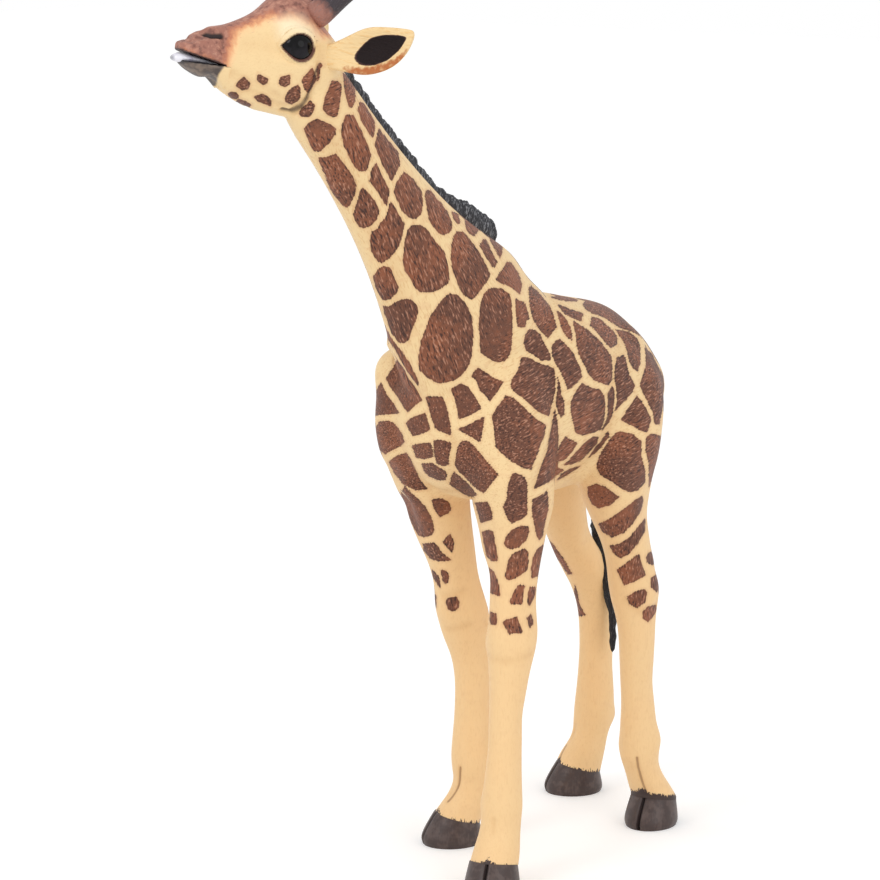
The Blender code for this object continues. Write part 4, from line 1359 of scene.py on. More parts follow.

# %% [markdown]
# ## The coat's patches
#
# On the real figure a painter follows a pattern of brown patches that leave narrow pale lines. The corners of
# each patch that the picture shows were read off it, in its pixels. A texture can't be pinned on by pixels
# here, because the figure has to look right from every side, so the patches become a value on the skin: each
# point of the skin that the camera sees is looked up in the picture, and gets its distance from the nearest
# edge of a patch. A shader then turns this smooth value into a crisp edge.

# %% Patches of the neck
NECK_PATCHES = (
    "332,81 337,81 341,85 341,93 339,107 337,116 334,117 328,115 323,109 325,98 329,89",
    "317,119 329,124 336,129 335,134 329,143 320,151 314,151 310,144 308,138 304,129 309,123",
    "343,73 348,77 352,82 355,90 355,101 352,107 349,107 347,99 345,90 344,80",
    "346,115 353,115 357,122 361,131 367,144 371,154 369,163 366,171 360,171 354,166 348,154 344,144 342,136 342,126",
    "360,102 364,104 369,112 374,121 375,128 373,137 371,136 366,128 361,120 358,109",
    "379,129 385,137 393,146 398,153 400,164 396,172 392,180 390,179 386,170 380,158 375,145",
    "336,154 340,159 346,167 354,179 356,187 354,196 349,206 346,208 339,201 330,188 324,172 318,158 328,157",
    "376,163 380,173 389,189 389,193 387,205 385,204 378,192 370,181 372,170",
    "363,188 367,192 374,200 379,210 377,219 370,226 364,228 359,226 355,219 354,214 356,207 359,197 360,191",
    "404,172 414,180 421,191 423,203 421,214 415,219 409,217 402,211 399,203 394,192 397,182",
    "426,191 430,190 436,198 440,202 447,212 451,221 452,228 449,233 443,235 439,233 431,223 428,214 427,206 425,196",
    "391,202 396,210 401,218 404,224 402,236 398,247 390,257 382,263 378,261 372,252 370,240 372,232 379,228 "
    "380,224 387,216 389,207",
    "412,226 420,225 426,229 434,240 444,252 448,268 449,280 448,283 438,290 429,292 420,292 415,287 411,279 "
    "405,271 403,260 405,242 408,230",
    "452,212 458,214 460,223 458,224 454,219",
    "457,232 463,232 469,239 477,249 483,260 490,274 487,281 481,289 474,298 471,299 463,294 458,283 453,271 "
    "451,258 452,244 454,236",
    "465,217 472,219 479,224 478,231 474,236 470,234 466,229",
    "480,246 483,239 486,240 491,250 497,262 495,267 492,266 485,255",
    "379,269 384,266 390,268 394,278 398,287 397,292 390,299 384,300 381,297 376,288 373,277",
    "383,306 389,307 398,301 406,299 411,300 417,306 418,311 416,320 411,331 409,339 404,343 399,342 392,333 385,314",
    "450,294 457,295 462,300 468,308 472,319 473,335 472,349 471,357 469,364 465,371 459,377 454,380 447,382 "
    "439,383 434,381 427,377 420,370 419,364 419,356 420,348 421,341 423,337 426,329 430,318 439,304 444,298",
    "489,289 493,288 502,289 509,294 511,301 512,319 512,335 511,349 508,357 504,361 498,362 492,360 487,357 "
    "481,352 480,341 479,319 481,304 484,294",
    "507,262 511,263 518,273 522,284 520,294 511,287 499,282 496,279 500,273 504,268",
    "486,230 490,232 496,240 502,248 502,253 500,258 495,249 490,239",
    "516,299 520,301 525,303 527,310 529,319 526,320 525,327 518,327 516,313",
    "386,329 391,338 395,344 402,352 407,360 411,366 414,373 418,380 418,385 414,380 408,372 402,362 396,350 389,340",
)

# %% Patches of the chest and the flank
TRUNK_PATCHES = (
    "397,360 403,368 409,380 416,389 422,400 414,406 408,412 404,407 398,397 390,386 386,379 390,373 394,367",
    "381,383 383,387 387,396 393,403 399,413 389,414 376,415 374,408 375,397 378,388",
    "379,422 388,421 393,423 398,428 402,434 404,442 400,446 392,450 385,454 379,449 376,440 375,430",
    "425,413 427,419 430,430 420,434 413,436 409,429 406,423 410,419 417,416",
    "426,397 442,397 445,403 448,414 450,424 451,435 443,432 436,429 433,421 430,412 427,401",
    "461,384 468,387 472,393 477,401 481,408 472,414 459,419 458,412 455,399 451,389 457,386",
    "478,368 483,371 493,378 503,382 498,390 490,401 485,394 480,390 477,381 472,376 475,371",
    "484,417 483,427 480,442 472,437 465,433 458,429 465,427 474,422",
    "430,443 432,450 433,457 423,459 416,457 414,450 412,446 419,444",
    "434,441 441,440 451,443 450,451 448,459 449,464 443,466 437,463 435,456 434,448",
    "422,464 432,463 438,467 445,471 447,475 445,480 438,480 429,476 424,471",
    "406,453 410,458 414,467 419,478 423,484 427,489 416,490 403,484 394,472 389,462 397,456",
    "462,441 467,441 472,444 477,450 483,457 489,464 498,475 492,482 487,489 483,493 475,487 467,479 459,471 "
    "455,465 456,457 458,447",
    "454,472 461,478 468,484 473,490 477,495 470,497 463,493 455,488 450,484 451,478",
    "506,396 511,397 518,402 527,411 537,420 546,425 544,435 541,442 536,457 533,464 531,469 522,467 513,462 "
    "501,452 496,447 495,437 494,426 492,416 497,408 502,401",
    "522,357 529,358 540,364 550,367 554,369 555,378 555,390 552,403 549,416 541,413 532,406 525,399 516,393 "
    "511,387 512,380 518,371 520,364",
    "530,329 536,331 540,335 545,345 550,354 550,360 541,360 536,356 526,350 524,342 525,336",
    "529,288 531,286 536,290 544,299 550,307 554,317 556,327 548,338 541,331 534,321 530,306",
    "557,311 562,314 567,321 571,329 572,340 567,337 562,329 559,319",
    "558,305 562,306 569,309 578,312 583,314 581,321 573,318 565,314",
    "551,297 562,296 576,296 577,301 568,301 557,299",
    "583,304 587,299 594,300 603,304 613,310 620,316 628,322 634,328 641,336 631,331 621,328 613,323 604,317 "
    "592,313 586,309",
    "573,321 580,325 590,332 599,340 606,349 611,356 612,367 612,378 609,385 602,383 594,380 589,374 585,365 "
    "579,354 577,345 576,334",
    "592,317 600,319 607,326 614,332 617,338 617,344 611,348 606,343 599,334 590,325",
    "616,330 625,331 632,334 638,340 640,348 640,357 640,365 637,371 632,367 629,360 628,352 624,342 620,336",
    "645,348 652,354 656,363 660,371 664,380 665,390 663,403 661,415 659,424 655,424 653,412 649,404 644,394 "
    "640,385 643,376 646,366 646,355",
    "560,339 565,344 571,350 576,360 580,368 582,377 575,384 568,390 565,381 560,370 555,362 552,353 552,346 555,342",
    "582,383 591,388 600,390 604,396 605,406 604,419 601,429 594,432 583,435 576,433 574,425 571,412 571,402 575,394",
    "612,386 614,390 614,403 612,415 609,422 602,430 606,422 608,415 608,405 608,394",
    "617,358 624,355 626,361 628,372 632,380 635,386 631,394 622,403 615,411 617,403 617,390 615,380 615,368",
    "637,396 641,401 646,409 651,419 649,426 647,432 640,430 631,425 621,420 626,412 632,404",
    "647,437 652,434 660,436 660,446 657,458 653,473 649,487 649,475 649,463 646,450 646,441",
    "617,432 623,432 632,434 641,441 641,455 645,472 645,482 638,490 630,492 623,489 613,482 601,475 597,468 "
    "598,460 603,450 610,440",
    "588,487 597,484 605,487 619,497 610,505 599,508 592,504 588,495",
    "565,437 571,440 577,443 572,452 565,459 558,462 558,452 560,445",
    "593,437 598,437 597,443 588,453 580,461 572,464 564,465 572,457 580,448 587,441",
    "608,431 609,436 602,446 595,453 589,457 595,448 602,440",
    "555,410 557,421 558,434 558,442 557,457 558,468 564,470 557,475 550,481 534,489 537,480 540,470 547,453 "
    "549,440 552,425",
    "557,377 559,382 561,394 564,402 564,414 561,417 558,411 556,402 558,390",
    "580,466 572,472 563,477 557,480 562,474 570,469",
)

# %% Patches of the legs
LEG_PATCHES = {
    "front_left": (
        "513,473 518,474 524,477 527,483 527,493 527,504 527,514 521,519 512,523 508,519 "
        "503,507 507,499 508,488 511,477",
        "521,526 528,527 529,531 526,540 519,547 512,549 506,547 504,543 507,536 512,530",
        "524,549 528,552 528,560 527,569 522,574 513,579 508,580 505,577 507,569 509,560 513,554",
        "518,585 525,586 523,593 522,604 511,604 510,601 514,592",
        "475,503 487,502 490,507 492,513 492,519 481,523 479,516",
        "482,532 489,530 493,532 495,543 497,554 497,561 492,561 487,556 484,543",
        "489,568 494,572 497,580 500,592 500,596 496,595 489,592 488,580",
        "547,492 548,498 548,510 545,522 542,537 539,540 537,536 534,522 532,509 533,500 540,496",
        "543,545 542,556 541,566 538,576 532,578 531,570 533,558 537,550",
        "535,587 535,594 532,601 529,606 528,601 528,593 530,587",
        "490,612 496,614 497,618 496,625 491,624 490,619",
        "517,617 522,631 521,633 513,633 509,634 507,629 503,623 506,620",
        "531,614 533,621 533,624 530,628 528,622 527,618",
    ),
    "front_right": (
        "405,486 411,493 419,500 426,508 431,517 433,524 434,531 431,535 424,537 418,535 "
        "413,526 409,516 405,504 401,493",
        "432,500 434,499 443,499 449,503 451,509 448,513 440,517 438,514 434,508",
        "450,534 452,538 454,543 453,549 452,552 448,548 443,542 446,538",
        "423,544 434,543 438,547 442,553 451,560 446,561 438,561 430,558 424,550",
        "441,570 446,571 449,576 448,582 446,584 443,581",
        "432,570 438,576 440,583 440,588 437,583 433,577",
        "433,591 436,596 436,608 432,603",
        "449,598 457,597 459,602 458,609 452,611 448,609 446,603 447,599",
    ),
    "rear_left": (
        "642,496 643,500 641,510 633,523 623,533 612,537 602,531 599,524 610,519 623,510 633,502",
        "645,519 645,530 638,543 630,553 620,558 613,552 610,546 620,544 630,537 638,527",
        "639,554 641,563 646,575 633,582 624,585 621,578 617,570 627,563",
        "650,552 656,555 657,561 652,565 647,562 646,557",
        "659,573 661,582 657,592 651,587 651,578",
        "645,589 647,593 645,602 637,608 630,604 627,597 635,592",
        "656,605 656,612 651,618 648,622 643,618 643,612 647,607",
    ),
    "rear_right": (
        "545,536 555,547 563,558 572,574 568,574 560,562 552,550 546,540",
        "575,585 578,597 580,606 585,615 579,616 576,606 574,595",
    ),
}

# %% Spots of the head
HEAD_PATCHES = (
    "279,82 281,77 290,75 290,84 285,87 280,85",
    "298,85 300,88 300,98 297,101 292,104 286,102 285,99 288,92 292,88",
    "312,68 314,72 316,80 313,85 308,93 305,90 302,81 303,78 308,73",
    "320,63 324,65 320,68 319,77 318,82 317,73 317,67",
    "310,100 312,103 315,105 313,112 309,117 301,116 299,113 302,108 308,104",
    "244,77 248,81 250,84 248,89 242,90 236,86 239,81",
    "258,74 262,76 268,79 267,83 263,85 257,80",
    "231,92 236,93 239,96 236,99 231,98 228,94",
    "239,99 245,101 251,105 249,107 242,104 236,102",
    "262,94 267,96 271,101 271,106 265,104 258,101 254,97",
)
print("patches:", len(NECK_PATCHES) + len(TRUNK_PATCHES) + len(HEAD_PATCHES) + sum(map(len, LEG_PATCHES.values())))

# %% [markdown]
# ## From the picture to the skin
#
# A point belongs to what the camera sees if nothing lies between the two. A ray from each point to the camera
# tells this. Points that the skin shows only edge-on are left out, because a pixel there covers too much skin.


# %% Look up patches
def edge_distance(x, y, corners):
    """How far pixels lie outside a polygon, and below 0 how far inside."""
    points = np.stack([x, y], 1)
    nearest = np.full(len(points), np.inf)
    inside = np.zeros(len(points), bool)
    for a, b in zip(corners, np.roll(corners, -1, 0)):
        span = b - a
        share = np.clip(((points - a) @ span) / max(span @ span, 1e-9), 0, 1)
        nearest = np.minimum(nearest, lengths(points - a - share[:, None] * span))
        crosses = (a[1] > y) != (b[1] > y)
        slope = (b[0] - a[0]) / (b[1] - a[1] if b[1] != a[1] else 1e-9)
        inside ^= crosses & (x < a[0] + slope * (y - a[1]))
    return np.where(inside, -nearest, nearest)


def seen_by_camera(points, normals, tree, facing=0.12):
    """Which points the camera sees well."""
    towards = EYE - points
    towards /= lengths(towards)[:, None]
    seen = (normals * towards).sum(1) > facing
    for at in np.nonzero(seen)[0]:
        start = points[at] + normals[at] * 0.15 * MM
        seen[at] = tree.ray_cast(start, towards[at], 1.5)[0] is None
    return seen


FAR_FROM_PATCH, MARGIN = 9.0, 12


def patch_distance(points, seen, patches, allowed):
    """Distance to the nearest patch's edge in millimetres, and that patch's number."""
    x, y, depth = to_picture(points)
    scale = depth / FOCAL / MM
    best = np.full(len(points), FAR_FROM_PATCH)
    owner = np.full(len(points), -1)
    for number, pixels in enumerate(patches):
        corners = corners_of(pixels)
        (left, top), (right, bottom) = corners.min(0) - MARGIN, corners.max(0) + MARGIN
        near = np.nonzero(seen & allowed[number] & (x > left) & (x < right) & (y > top) & (y < bottom))[0]
        distance = edge_distance(x[near], y[near], corners) * scale[near]
        closer = distance < best[near]
        best[near[closer]], owner[near[closer]] = distance[closer], number
    return best, owner


def leg_of(points):
    """The nearest leg of each point, as a number into LEGS."""
    own = points - ORIGIN
    nearest = np.full(len(points), np.inf)
    number = np.zeros(len(points), int)
    for at, leg in enumerate(LEGS):
        line = np.array(LEG_LINE_SHARES[leg])
        share = own[:, 2] / BACK_HEIGHT
        x = side_of(leg) * np.interp(share, line[:, 0], line[:, 1]) * BODY_WIDTH
        y = np.interp(share, line[:, 0], line[:, 2]) * BODY_LENGTH
        distance = np.hypot(own[:, 0] - x, own[:, 1] - y)
        closer = distance < nearest
        nearest[closer], number[closer] = distance[closer], at
    return number


# %% Read the seen patches
points, normals = read(hide), read(hide, "normal")
body_tree = tree_of(hide)
seen = spread(seen_by_camera(points, normals, body_tree).astype(float), hide, 3) > 0.5
nearest_leg = leg_of(points)
height = points[:, 2]
leg_patches = [(leg, pixels) for leg in LEGS for pixels in LEG_PATCHES[leg]]
every_patch = [*NECK_PATCHES, *TRUNK_PATCHES, *(pixels for _, pixels in leg_patches)]
# A leg's patches lie on that leg alone, and no patch of the trunk runs on down a leg
TRUNK_FROM, LEG_TO = 70 * MM, 108 * MM
allowed = [height > TRUNK_FROM] * (len(NECK_PATCHES) + len(TRUNK_PATCHES))
allowed += [(nearest_leg == LEGS.index(leg)) & (height < LEG_TO) for leg, _ in leg_patches]
patch, owner = patch_distance(points, seen, every_patch, allowed)
print("seen points:", int(seen.sum()), "in patches:", int((patch < 0).sum()))

# %% [markdown]
# ## The side that the picture doesn't show
#
# A patch that reaches the edge of what is seen runs on a little round the corner. The rest of the far side is
# laid out like real giraffe skin: points are scattered evenly and each claims the skin nearest to it, which
# gives patches with straight, narrow lines between them. Belly and inner legs stay plain, and so do the legs
# below the knees.


# %% Run seen patches on
# In millimetres: the width of the pale lines, how far a patch runs on, and a distance beyond all others
LINE, CORNER_REACH, NOWHERE = 1.5, 2.6, 99.0
hidden = np.nonzero(~seen)[0]
first, second = np.full(len(points), NOWHERE), np.full(len(points), NOWHERE)
pairs = edges_of(hide)
crossing = pairs[seen[pairs[:, 0]] != seen[pairs[:, 1]]]
rim = np.unique(np.where(seen[crossing[:, 0]], crossing[:, 0], crossing[:, 1]))
rim = rim[(patch[rim] < 0) & (owner[rim] >= 0)]
for number in np.unique(owner[rim]):
    edge = points[rim[owner[rim] == number]][::2]
    low, high = edge.min(0) - 8 * MM, edge.max(0) + 8 * MM
    near = hidden[((points[hidden] > low) & (points[hidden] < high)).all(1)]
    distance = np.full(len(near), NOWHERE)
    for spot in edge:
        distance = np.minimum(distance, lengths(points[near] - spot) / MM)
    closer = distance < first[near]
    second[near] = np.where(closer, first[near], np.minimum(second[near], distance))
    first[near] = np.where(closer, distance, first[near])
running = np.maximum(first - CORNER_REACH, LINE / 2 - (second - first) / 2)
print("patches that run on:", len(np.unique(owner[rim])))

# %% Where the far side has room for patches
# Heights and places in millimetres: the plain lower legs, the belly, the wavy edge of the inner legs, and the throat
FRONT_STOP, REAR_STOP, BELLY_FROM, BELLY_TO, INNER_TO, WAVE = 66, 62, 84, 112, 94, 5
high = height / MM
side = np.array([side_of(leg) for leg in LEGS])[nearest_leg]
stop = np.where(nearest_leg < 2, FRONT_STOP, REAR_STOP)
belly = (normals[:, 2] < -0.55) & (high < BELLY_TO) & (high > BELLY_FROM)
inner = (high < INNER_TO + WAVE * np.sin(points[:, 1] * 420 + points[:, 0] * 300)) & (normals[:, 0] * side < -0.15)
in_neck, in_head = in_frame(points, NECK) / MM, in_frame(points, HEAD) / MM
covered = (in_head[:, 2] >= -2.5) & (in_head[:, 1] <= 4)
plain = belly | (high < stop) | inner | covered
room = ~seen & ~plain & (running > LINE)
spacing = np.where(high < 98, 6.5, np.where(in_neck[:, 2] > 10, 9.0, 11.5)) * MM
print("points with room for patches:", int(room.sum()))


# %% Scatter the middles of patches evenly
def search_tree(points, numbers):
    """Finds the nearest of some points; numbers says which."""
    tree = KDTree(len(numbers))
    for at in numbers:
        tree.insert(points[at], int(at))
    tree.balance()
    return tree


TRIES, ROUNDS, SAMPLE = 6000, 4, 3
dice = np.random.default_rng(11)
seeds = np.zeros((0, 3))
for at in dice.permutation(np.nonzero(room)[0])[:TRIES]:
    if not len(seeds) or (lengths(seeds - points[at]) > spacing[at]).all():
        seeds = np.vstack([seeds, points[at]])
members = np.nonzero(room)[0]
sample = members[::SAMPLE]
for _ in range(ROUNDS):
    tree = search_tree(seeds, range(len(seeds)))
    claimed = np.array([tree.find(points[at])[1] for at in sample])
    for at in range(len(seeds)):
        if (claimed == at).any():
            seeds[at] = points[sample[claimed == at]].mean(0)
print("patches on the far side:", len(seeds))

# %% Part the far side among its patches
# Corners are rounded by adding up the borders to all neighbours; patches of fewer points than SMALL are left out
NEIGHBOURS, ROUNDING, SMALL = 4, 2.2, 22
tree = search_tree(seeds, range(len(seeds)))
blocked = search_tree(points, np.nonzero(~room)[0][::2])
laid, cell = np.full(len(points), FAR_FROM_PATCH), np.full(len(points), -1)
for at in members:
    (own, cell[at], own_away), *others = tree.find_n(points[at], NEIGHBOURS)
    gap = 0.0
    for other, _, away in others:
        border = (away**2 - own_away**2) / (2 * (other - own).length) / MM
        gap += math.exp(-ROUNDING * max(border, 0))
    border = -math.log(max(gap, 1e-9)) / ROUNDING
    laid[at] = max(LINE / 2 - border, LINE - 0.3 - blocked.find(points[at])[2] / MM)
area = np.bincount(cell[(laid < -0.2) & (cell >= 0)], minlength=len(seeds))
laid[np.isin(cell, np.nonzero(area < SMALL)[0])] = FAR_FROM_PATCH
print("patches laid on the far side:", int((area >= SMALL).sum()))

# %% Keep the coat's values on the skin
# Past this distance from an edge, in millimetres, the paint is the same
DEEP = 4
patch = np.where(seen, patch, np.minimum(running, laid))
patch[~seen & plain] = np.maximum(patch[~seen & plain], 1.0)
patch = np.clip(patch, -DEEP, DEEP)
patch = np.where(seen, patch, spread(patch, hide, 3))
keep(hide, "patch", patch)
# The painted shade of the grooves is kept too
keep(hide, "wash", wash)
keep(hide, "hoof_line", FAR_FROM_HOOF - hoof_line)
keep(hide, "on_neck", step(-4, 8, in_neck[:, 2] + 8 * step(0.4, 0.9, -normals[:, 1])))
keep(hide, "on_leg", 1 - step(82, 100, high))
keep(hide, "warm", 1 - step(70, 135, high))
print("values kept on the hide:", len(hide.data.attributes))

# %% [markdown]
# ## The painted face
#
# The face is painted freehand on the real figure: a mauve nose and forehead that fade through orange into
# cream, a grey chin and brown lids. Painted shade darkens the nostrils and the face's other grooves, and a
# painted highlight lies on each brow. What the camera doesn't see of the head takes the colour of the same
# place on the other cheek.

# %% Places of the face's colours
MUZZLE = "174,52 174,37 186,31 200,22 216,18 228,20 231,30 228,44 225,56 222,63 214,58 196,52 180,48"
FOREHEAD = "224,31 236,25 250,19 262,13 272,11 286,12 300,14 314,18 322,29 336,30 345,-40 220,-40 214,20"
CHIN = "160,48 228,58 224,68 219,74 216,86 196,90 160,76"
BROW_HIGHLIGHT = "279,22 290,18 300,20 311,29 314,36 307,33 298,31 288,32 282,36"
LOWER_LIP = "172,54 190,54 206,54 206,59 192,62 174,62"


def face_look(points, normals, tree):
    """Where the camera sees each point of the head, or its twin on the other cheek."""
    seen = seen_by_camera(points, normals, tree, 0.05)
    return seen, np.where(seen[:, None], points, twin_look(points))


def region(look, pixels):
    """Distance of points to a region's edge in millimetres, below 0 inside."""
    x, y, depth = to_picture(look)
    return edge_distance(x, y, corners_of(pixels)) * depth / FOCAL / MM


def spots_of(look):
    """Distance to the edge of the nearest spot of the head."""
    everyone = np.ones(len(look), bool)
    return patch_distance(look, everyone, HEAD_PATCHES, [everyone] * len(HEAD_PATCHES))[0]


def over(points, plane_up):
    """How far points lie over a plane through the corner of the mouth, in millimetres."""
    return (points - corner) @ plane_up / MM


# %% Paint the head
points, normals = read(head), read(head, "normal")
seen, look = face_look(points, normals, tree_of(head))
# The neck's patches run on to the head: from the picture where it is seen, or else from the hide's nearest point
collar = patch_distance(points, seen, NECK_PATCHES, [seen] * len(NECK_PATCHES))[0]
hide_points = read(hide)
nearest = search_tree(hide_points, np.nonzero(in_frame(hide_points, NECK)[:, 2] > HEAD_SEAM - 6 * MM)[0])
for at in np.nonzero(~seen)[0]:
    collar[at] = patch[nearest.find(points[at])[1]]
keep(head, "patch", spread(np.clip(np.minimum(spots_of(look), collar), -DEEP, DEEP), head, 2))
face = np.maximum(1 - step(-2.0, 3.6, region(look, MUZZLE)), 1 - step(-2.2, 4.4, region(look, FOREHEAD)))
keep(head, "face", spread(face, head, 4))
lid_paint = np.zeros(len(points))
for side in (1, -1):
    rim_share, high = almond(points, side)
    lower = (1 - step(1.03, 1.14, rim_share)) * step(0.4, -0.8, high)
    upper = 1 - step(0.90, 0.96, rim_share)
    lid_paint = np.maximum(lid_paint, np.maximum(lower, upper))
keep(head, "lid", lid_paint)
slit = np.minimum(almond(points, 1)[0], almond(points, -1)[0])
keep(head, "slit", 1 - step(0.80, 0.88, slit))
# A painted highlight lies on each brow ridge, over the eye
keep(head, "pale", 1 - step(-2.2, 2.8, region(look, BROW_HIGHLIGHT)))
roof = step(0.2, 0.5, -(normals @ upper_lip_up)) * (1 - step(0.3, 0.9, over(points, upper_lip_up)))
keep(head, "mouth", roof * (over(points, lower_lip_back) < 0))
below = step(0.3, -0.3, over(points, lower_lip_up))
keep(head, "chin", below * (1 - step(-1.0, 1.0, region(look, CHIN))))
keep(head, "wash", face_crease_shade)
own = in_frame(points, HEAD) / MM
keep(head, "on_neck", 1 - step(-9, -3, own[:, 2] - 0.4 * np.abs(own[:, 1])))
print("the head is painted:", int((face > 0.5).sum()), "points of nose and forehead")

# %% Paint the jaw
points, normals = read(jaw), read(jaw, "normal")
look = face_look(points, normals, tree_of(jaw))[1]
keep(jaw, "patch", np.clip(spots_of(look), -DEEP, DEEP))
keep(jaw, "chin", 1 - step(-1.0, 1.0, region(look, CHIN)))
lip = 1 - step(-0.3, 0.8, region(look, LOWER_LIP))
floor_of_mouth = step(0.3, 0.6, normals @ lower_lip_up) * step(-1.2, -0.5, over(points, lower_lip_up))
keep(jaw, "mouth", np.maximum(lip, floor_of_mouth))
print("the jaw is painted:", int((lip > 0.5).sum()), "points of the lip")

# %% [markdown]
# ## Part the hide into its pieces
#
# The real figure is glued from mouldings. The hide is cut at the same planes as the solids, after it has been
# shaped and painted as one, so shapes and patches run on across every seam.

# %% Part the hide
# The front and rear legs part on a plane between them, a little ahead of the figure's middle
BETWEEN_LEGS = ORIGIN + BACK * (-3 * MM)
pieces = {}
bpy.data.objects.remove(cut_plane(hide, seam_point, seam_normal, "over_the_neck"))
pieces["neck"] = cut_plane(hide, NECK @ (UP * NECK_SEAM), seam_normal, "neck_form")
torso = cut_plane(hide, UP * LEG_SEAM, UP, "torso_form")
pieces["torso_left_shell"] = cut_plane(torso, ORIGIN, ACROSS, "left_form")
pieces["torso_right_shell"] = torso
left_legs = cut_plane(hide, ORIGIN, ACROSS, "left_legs")
for name, legs in (("left", left_legs), ("right", hide)):
    rear = cut_plane(legs, BETWEEN_LEGS, BACK, "rear")
    pieces["rear_" + name + "_leg"], pieces["front_" + name + "_leg"] = rear, legs
for leg in LEGS:
    coronet = coronet_frame(leg)
    pieces[leg + "_leg"] = keep_ahead(pieces[leg + "_leg"], coronet.translation, coronet.to_3x3() @ UP)
    pieces[leg + "_hoof"] = hooves[leg]
pieces.update({"head": head, "lower_jaw": jaw, "tongue": tongue, "mane": mane, "tail": tail, "tail_tuft": tuft})
for side, name in ((1, "left"), (-1, "right")):
    pieces["eye_" + name], pieces["ear_" + name], pieces["ossicone_" + name] = eyes[side], ears[side], horns[side]
for name, piece in pieces.items():
    piece.name = "painted_" + name
    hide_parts(name)
    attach(piece, "root")
print("pieces:", len(pieces))

# %% [markdown]
# ## How the paints are mixed
#
# A Blender material is a net of nodes. Small helpers make it readable: a Wire is a value in the net that can be
# added and multiplied like a number, a Net makes its nodes by one method, and a Paint is a material's net.


# %% Wires
class Wire:
    """A value in a net of nodes; sums and products add the Math nodes that work them out."""

    def __init__(self, net, socket):
        self.net, self.socket = net, socket

    def __add__(self, other):
        return self.net.math("ADD", self, other)

    def __sub__(self, other):
        return self.net.math("SUBTRACT", self, other)

    def __rsub__(self, other):
        return self.net.math("SUBTRACT", other, self)

    def __mul__(self, other):
        return self.net.math("MULTIPLY", self, other)

    __radd__, __rmul__ = __add__, __mul__


# %% Nets of nodes
class Net:
    """The nodes of a material or of the world."""

    def __init__(self, tree):
        self.tree = tree

    def feed(self, socket, value):
        if isinstance(value, Wire):
            self.tree.links.new(value.socket, socket)
        else:
            socket.default_value = value

    def node(self, kind, settings=None, values=None, out=0):
        """Any node: its type, its settings, what its sockets get, and which output is used."""
        made = self.tree.nodes.new("ShaderNode" + kind)
        for key, value in (settings or {}).items():
            if key == "stops":
                made.color_ramp.elements.remove(made.color_ramp.elements[1])
                made.color_ramp.elements[0].position, made.color_ramp.elements[0].color = value[0]
                for place, colour in value[1:]:
                    made.color_ramp.elements.new(place).color = colour
            else:
                setattr(made, key, value)
        for key, value in (values or {}).items():
            self.feed(made.inputs[key], value)
        return Wire(self, made.outputs[out])

    def math(self, operation, *values):
        return self.node("Math", {"operation": operation}, dict(enumerate(values)))


# %% Paints
def tone(red, green, blue):
    """A colour as it looks on a screen, from 0 to 255, in the linear light that nodes use."""
    linear = [(v / 255 / 12.92) if v < 10.3 else ((v / 255 + 0.055) / 1.055) ** 2.4 for v in (red, green, blue)]
    return (*linear, 1.0)


class Paint(Net):
    """A material with one shader and the nodes that feed it."""

    def __init__(self, name, roughness=0.5, **sockets):
        self.material = bpy.data.materials.new(name)
        self.material.use_nodes = True
        super().__init__(self.material.node_tree)
        self.shader = self.tree.nodes["Principled BSDF"]
        self.shader.inputs["Roughness"].default_value = roughness
        for socket, value in sockets.items():
            self.shader.inputs[socket.replace("_", " ")].default_value = value
        self.place = self.node("TexCoord", out="Object")

    def kept(self, name):
        """A value that was kept on the skin."""
        return self.node("Attribute", {"attribute_name": name}, out="Fac")

    def rise(self, value, low, high):
        """0 at low, 1 at high, and a smooth rise between."""
        sockets = {"Value": value, "From Min": low, "From Max": high}
        return self.node("MapRange", {"interpolation_type": "SMOOTHSTEP"}, sockets)

    def blend(self, first, second, share):
        """One colour laid over another."""
        return self.node("Mix", {"data_type": "RGBA"}, {0: share, 6: first, 7: second}, 2)

    def noise(self, size, detail=2.0):
        """Soft specks of a size in millimetres."""
        return self.node("TexNoise", None, {"Vector": self.place, "Scale": 1 / (size * MM), "Detail": detail})

    def hair(self, lean, across, along, detail=1.0, turn=0.0):
        """Fine strokes that run up an axis which leans by so many degrees; sizes in millimetres."""
        sockets = {
            "Vector": self.place,
            "Rotation": (math.radians(lean), 0, math.radians(turn)),
            "Scale": (across * MM, across * MM, along * MM),
        }
        stretched = self.node("Mapping", {"vector_type": "TEXTURE"}, sockets)
        return self.node("TexNoise", None, {"Vector": stretched, "Scale": 1.0, "Detail": detail})

    def ramp(self, value, *stops):
        return self.node("ValToRGB", {"stops": stops}, {0: value})

    def finish(self, colour, height=None, depth=0.1):
        """Puts a colour and a relief, whose depth is in millimetres, on the shader."""
        self.feed(self.shader.inputs["Base Color"], colour)
        if height:
            bump = self.node("Bump", None, {"Strength": 1.0, "Distance": depth * MM, "Height": height})
            self.feed(self.shader.inputs["Normal"], bump)
        return self.material


print("a mid grey in linear light:", round(tone(128, 128, 128)[0], 3))

# %% [markdown]
# ## The coat's paint
#
# The moulded skin has fine scored hairs. The painter sprays cream, warmer towards the hooves, and brushes the
# brown patches on. Paint that is wiped off the raised hairs leaves pale strokes in the brown. The patch value
# from the skin, in millimetres, is nudged by a little noise so that its edges look brushed, and the brown is
# darkest just inside them. The grooves, and the furrows between the hairs on the cream, are darkened with
# painted shade.

# %% Coat
CREAM, WARM_CREAM, SHADED_CREAM = tone(241, 210, 158), tone(243, 202, 148), tone(206, 158, 104)
BROWN, RED_BROWN = tone(104, 63, 45), tone(140, 82, 54)
DARK_BROWN, PALE_STROKE, TAN_EDGE = tone(66, 37, 27), tone(206, 150, 122), tone(222, 176, 130)
CREASE_SHADE_BROWN, HOOF_BROWN = tone(112, 76, 54), tone(64, 50, 47)


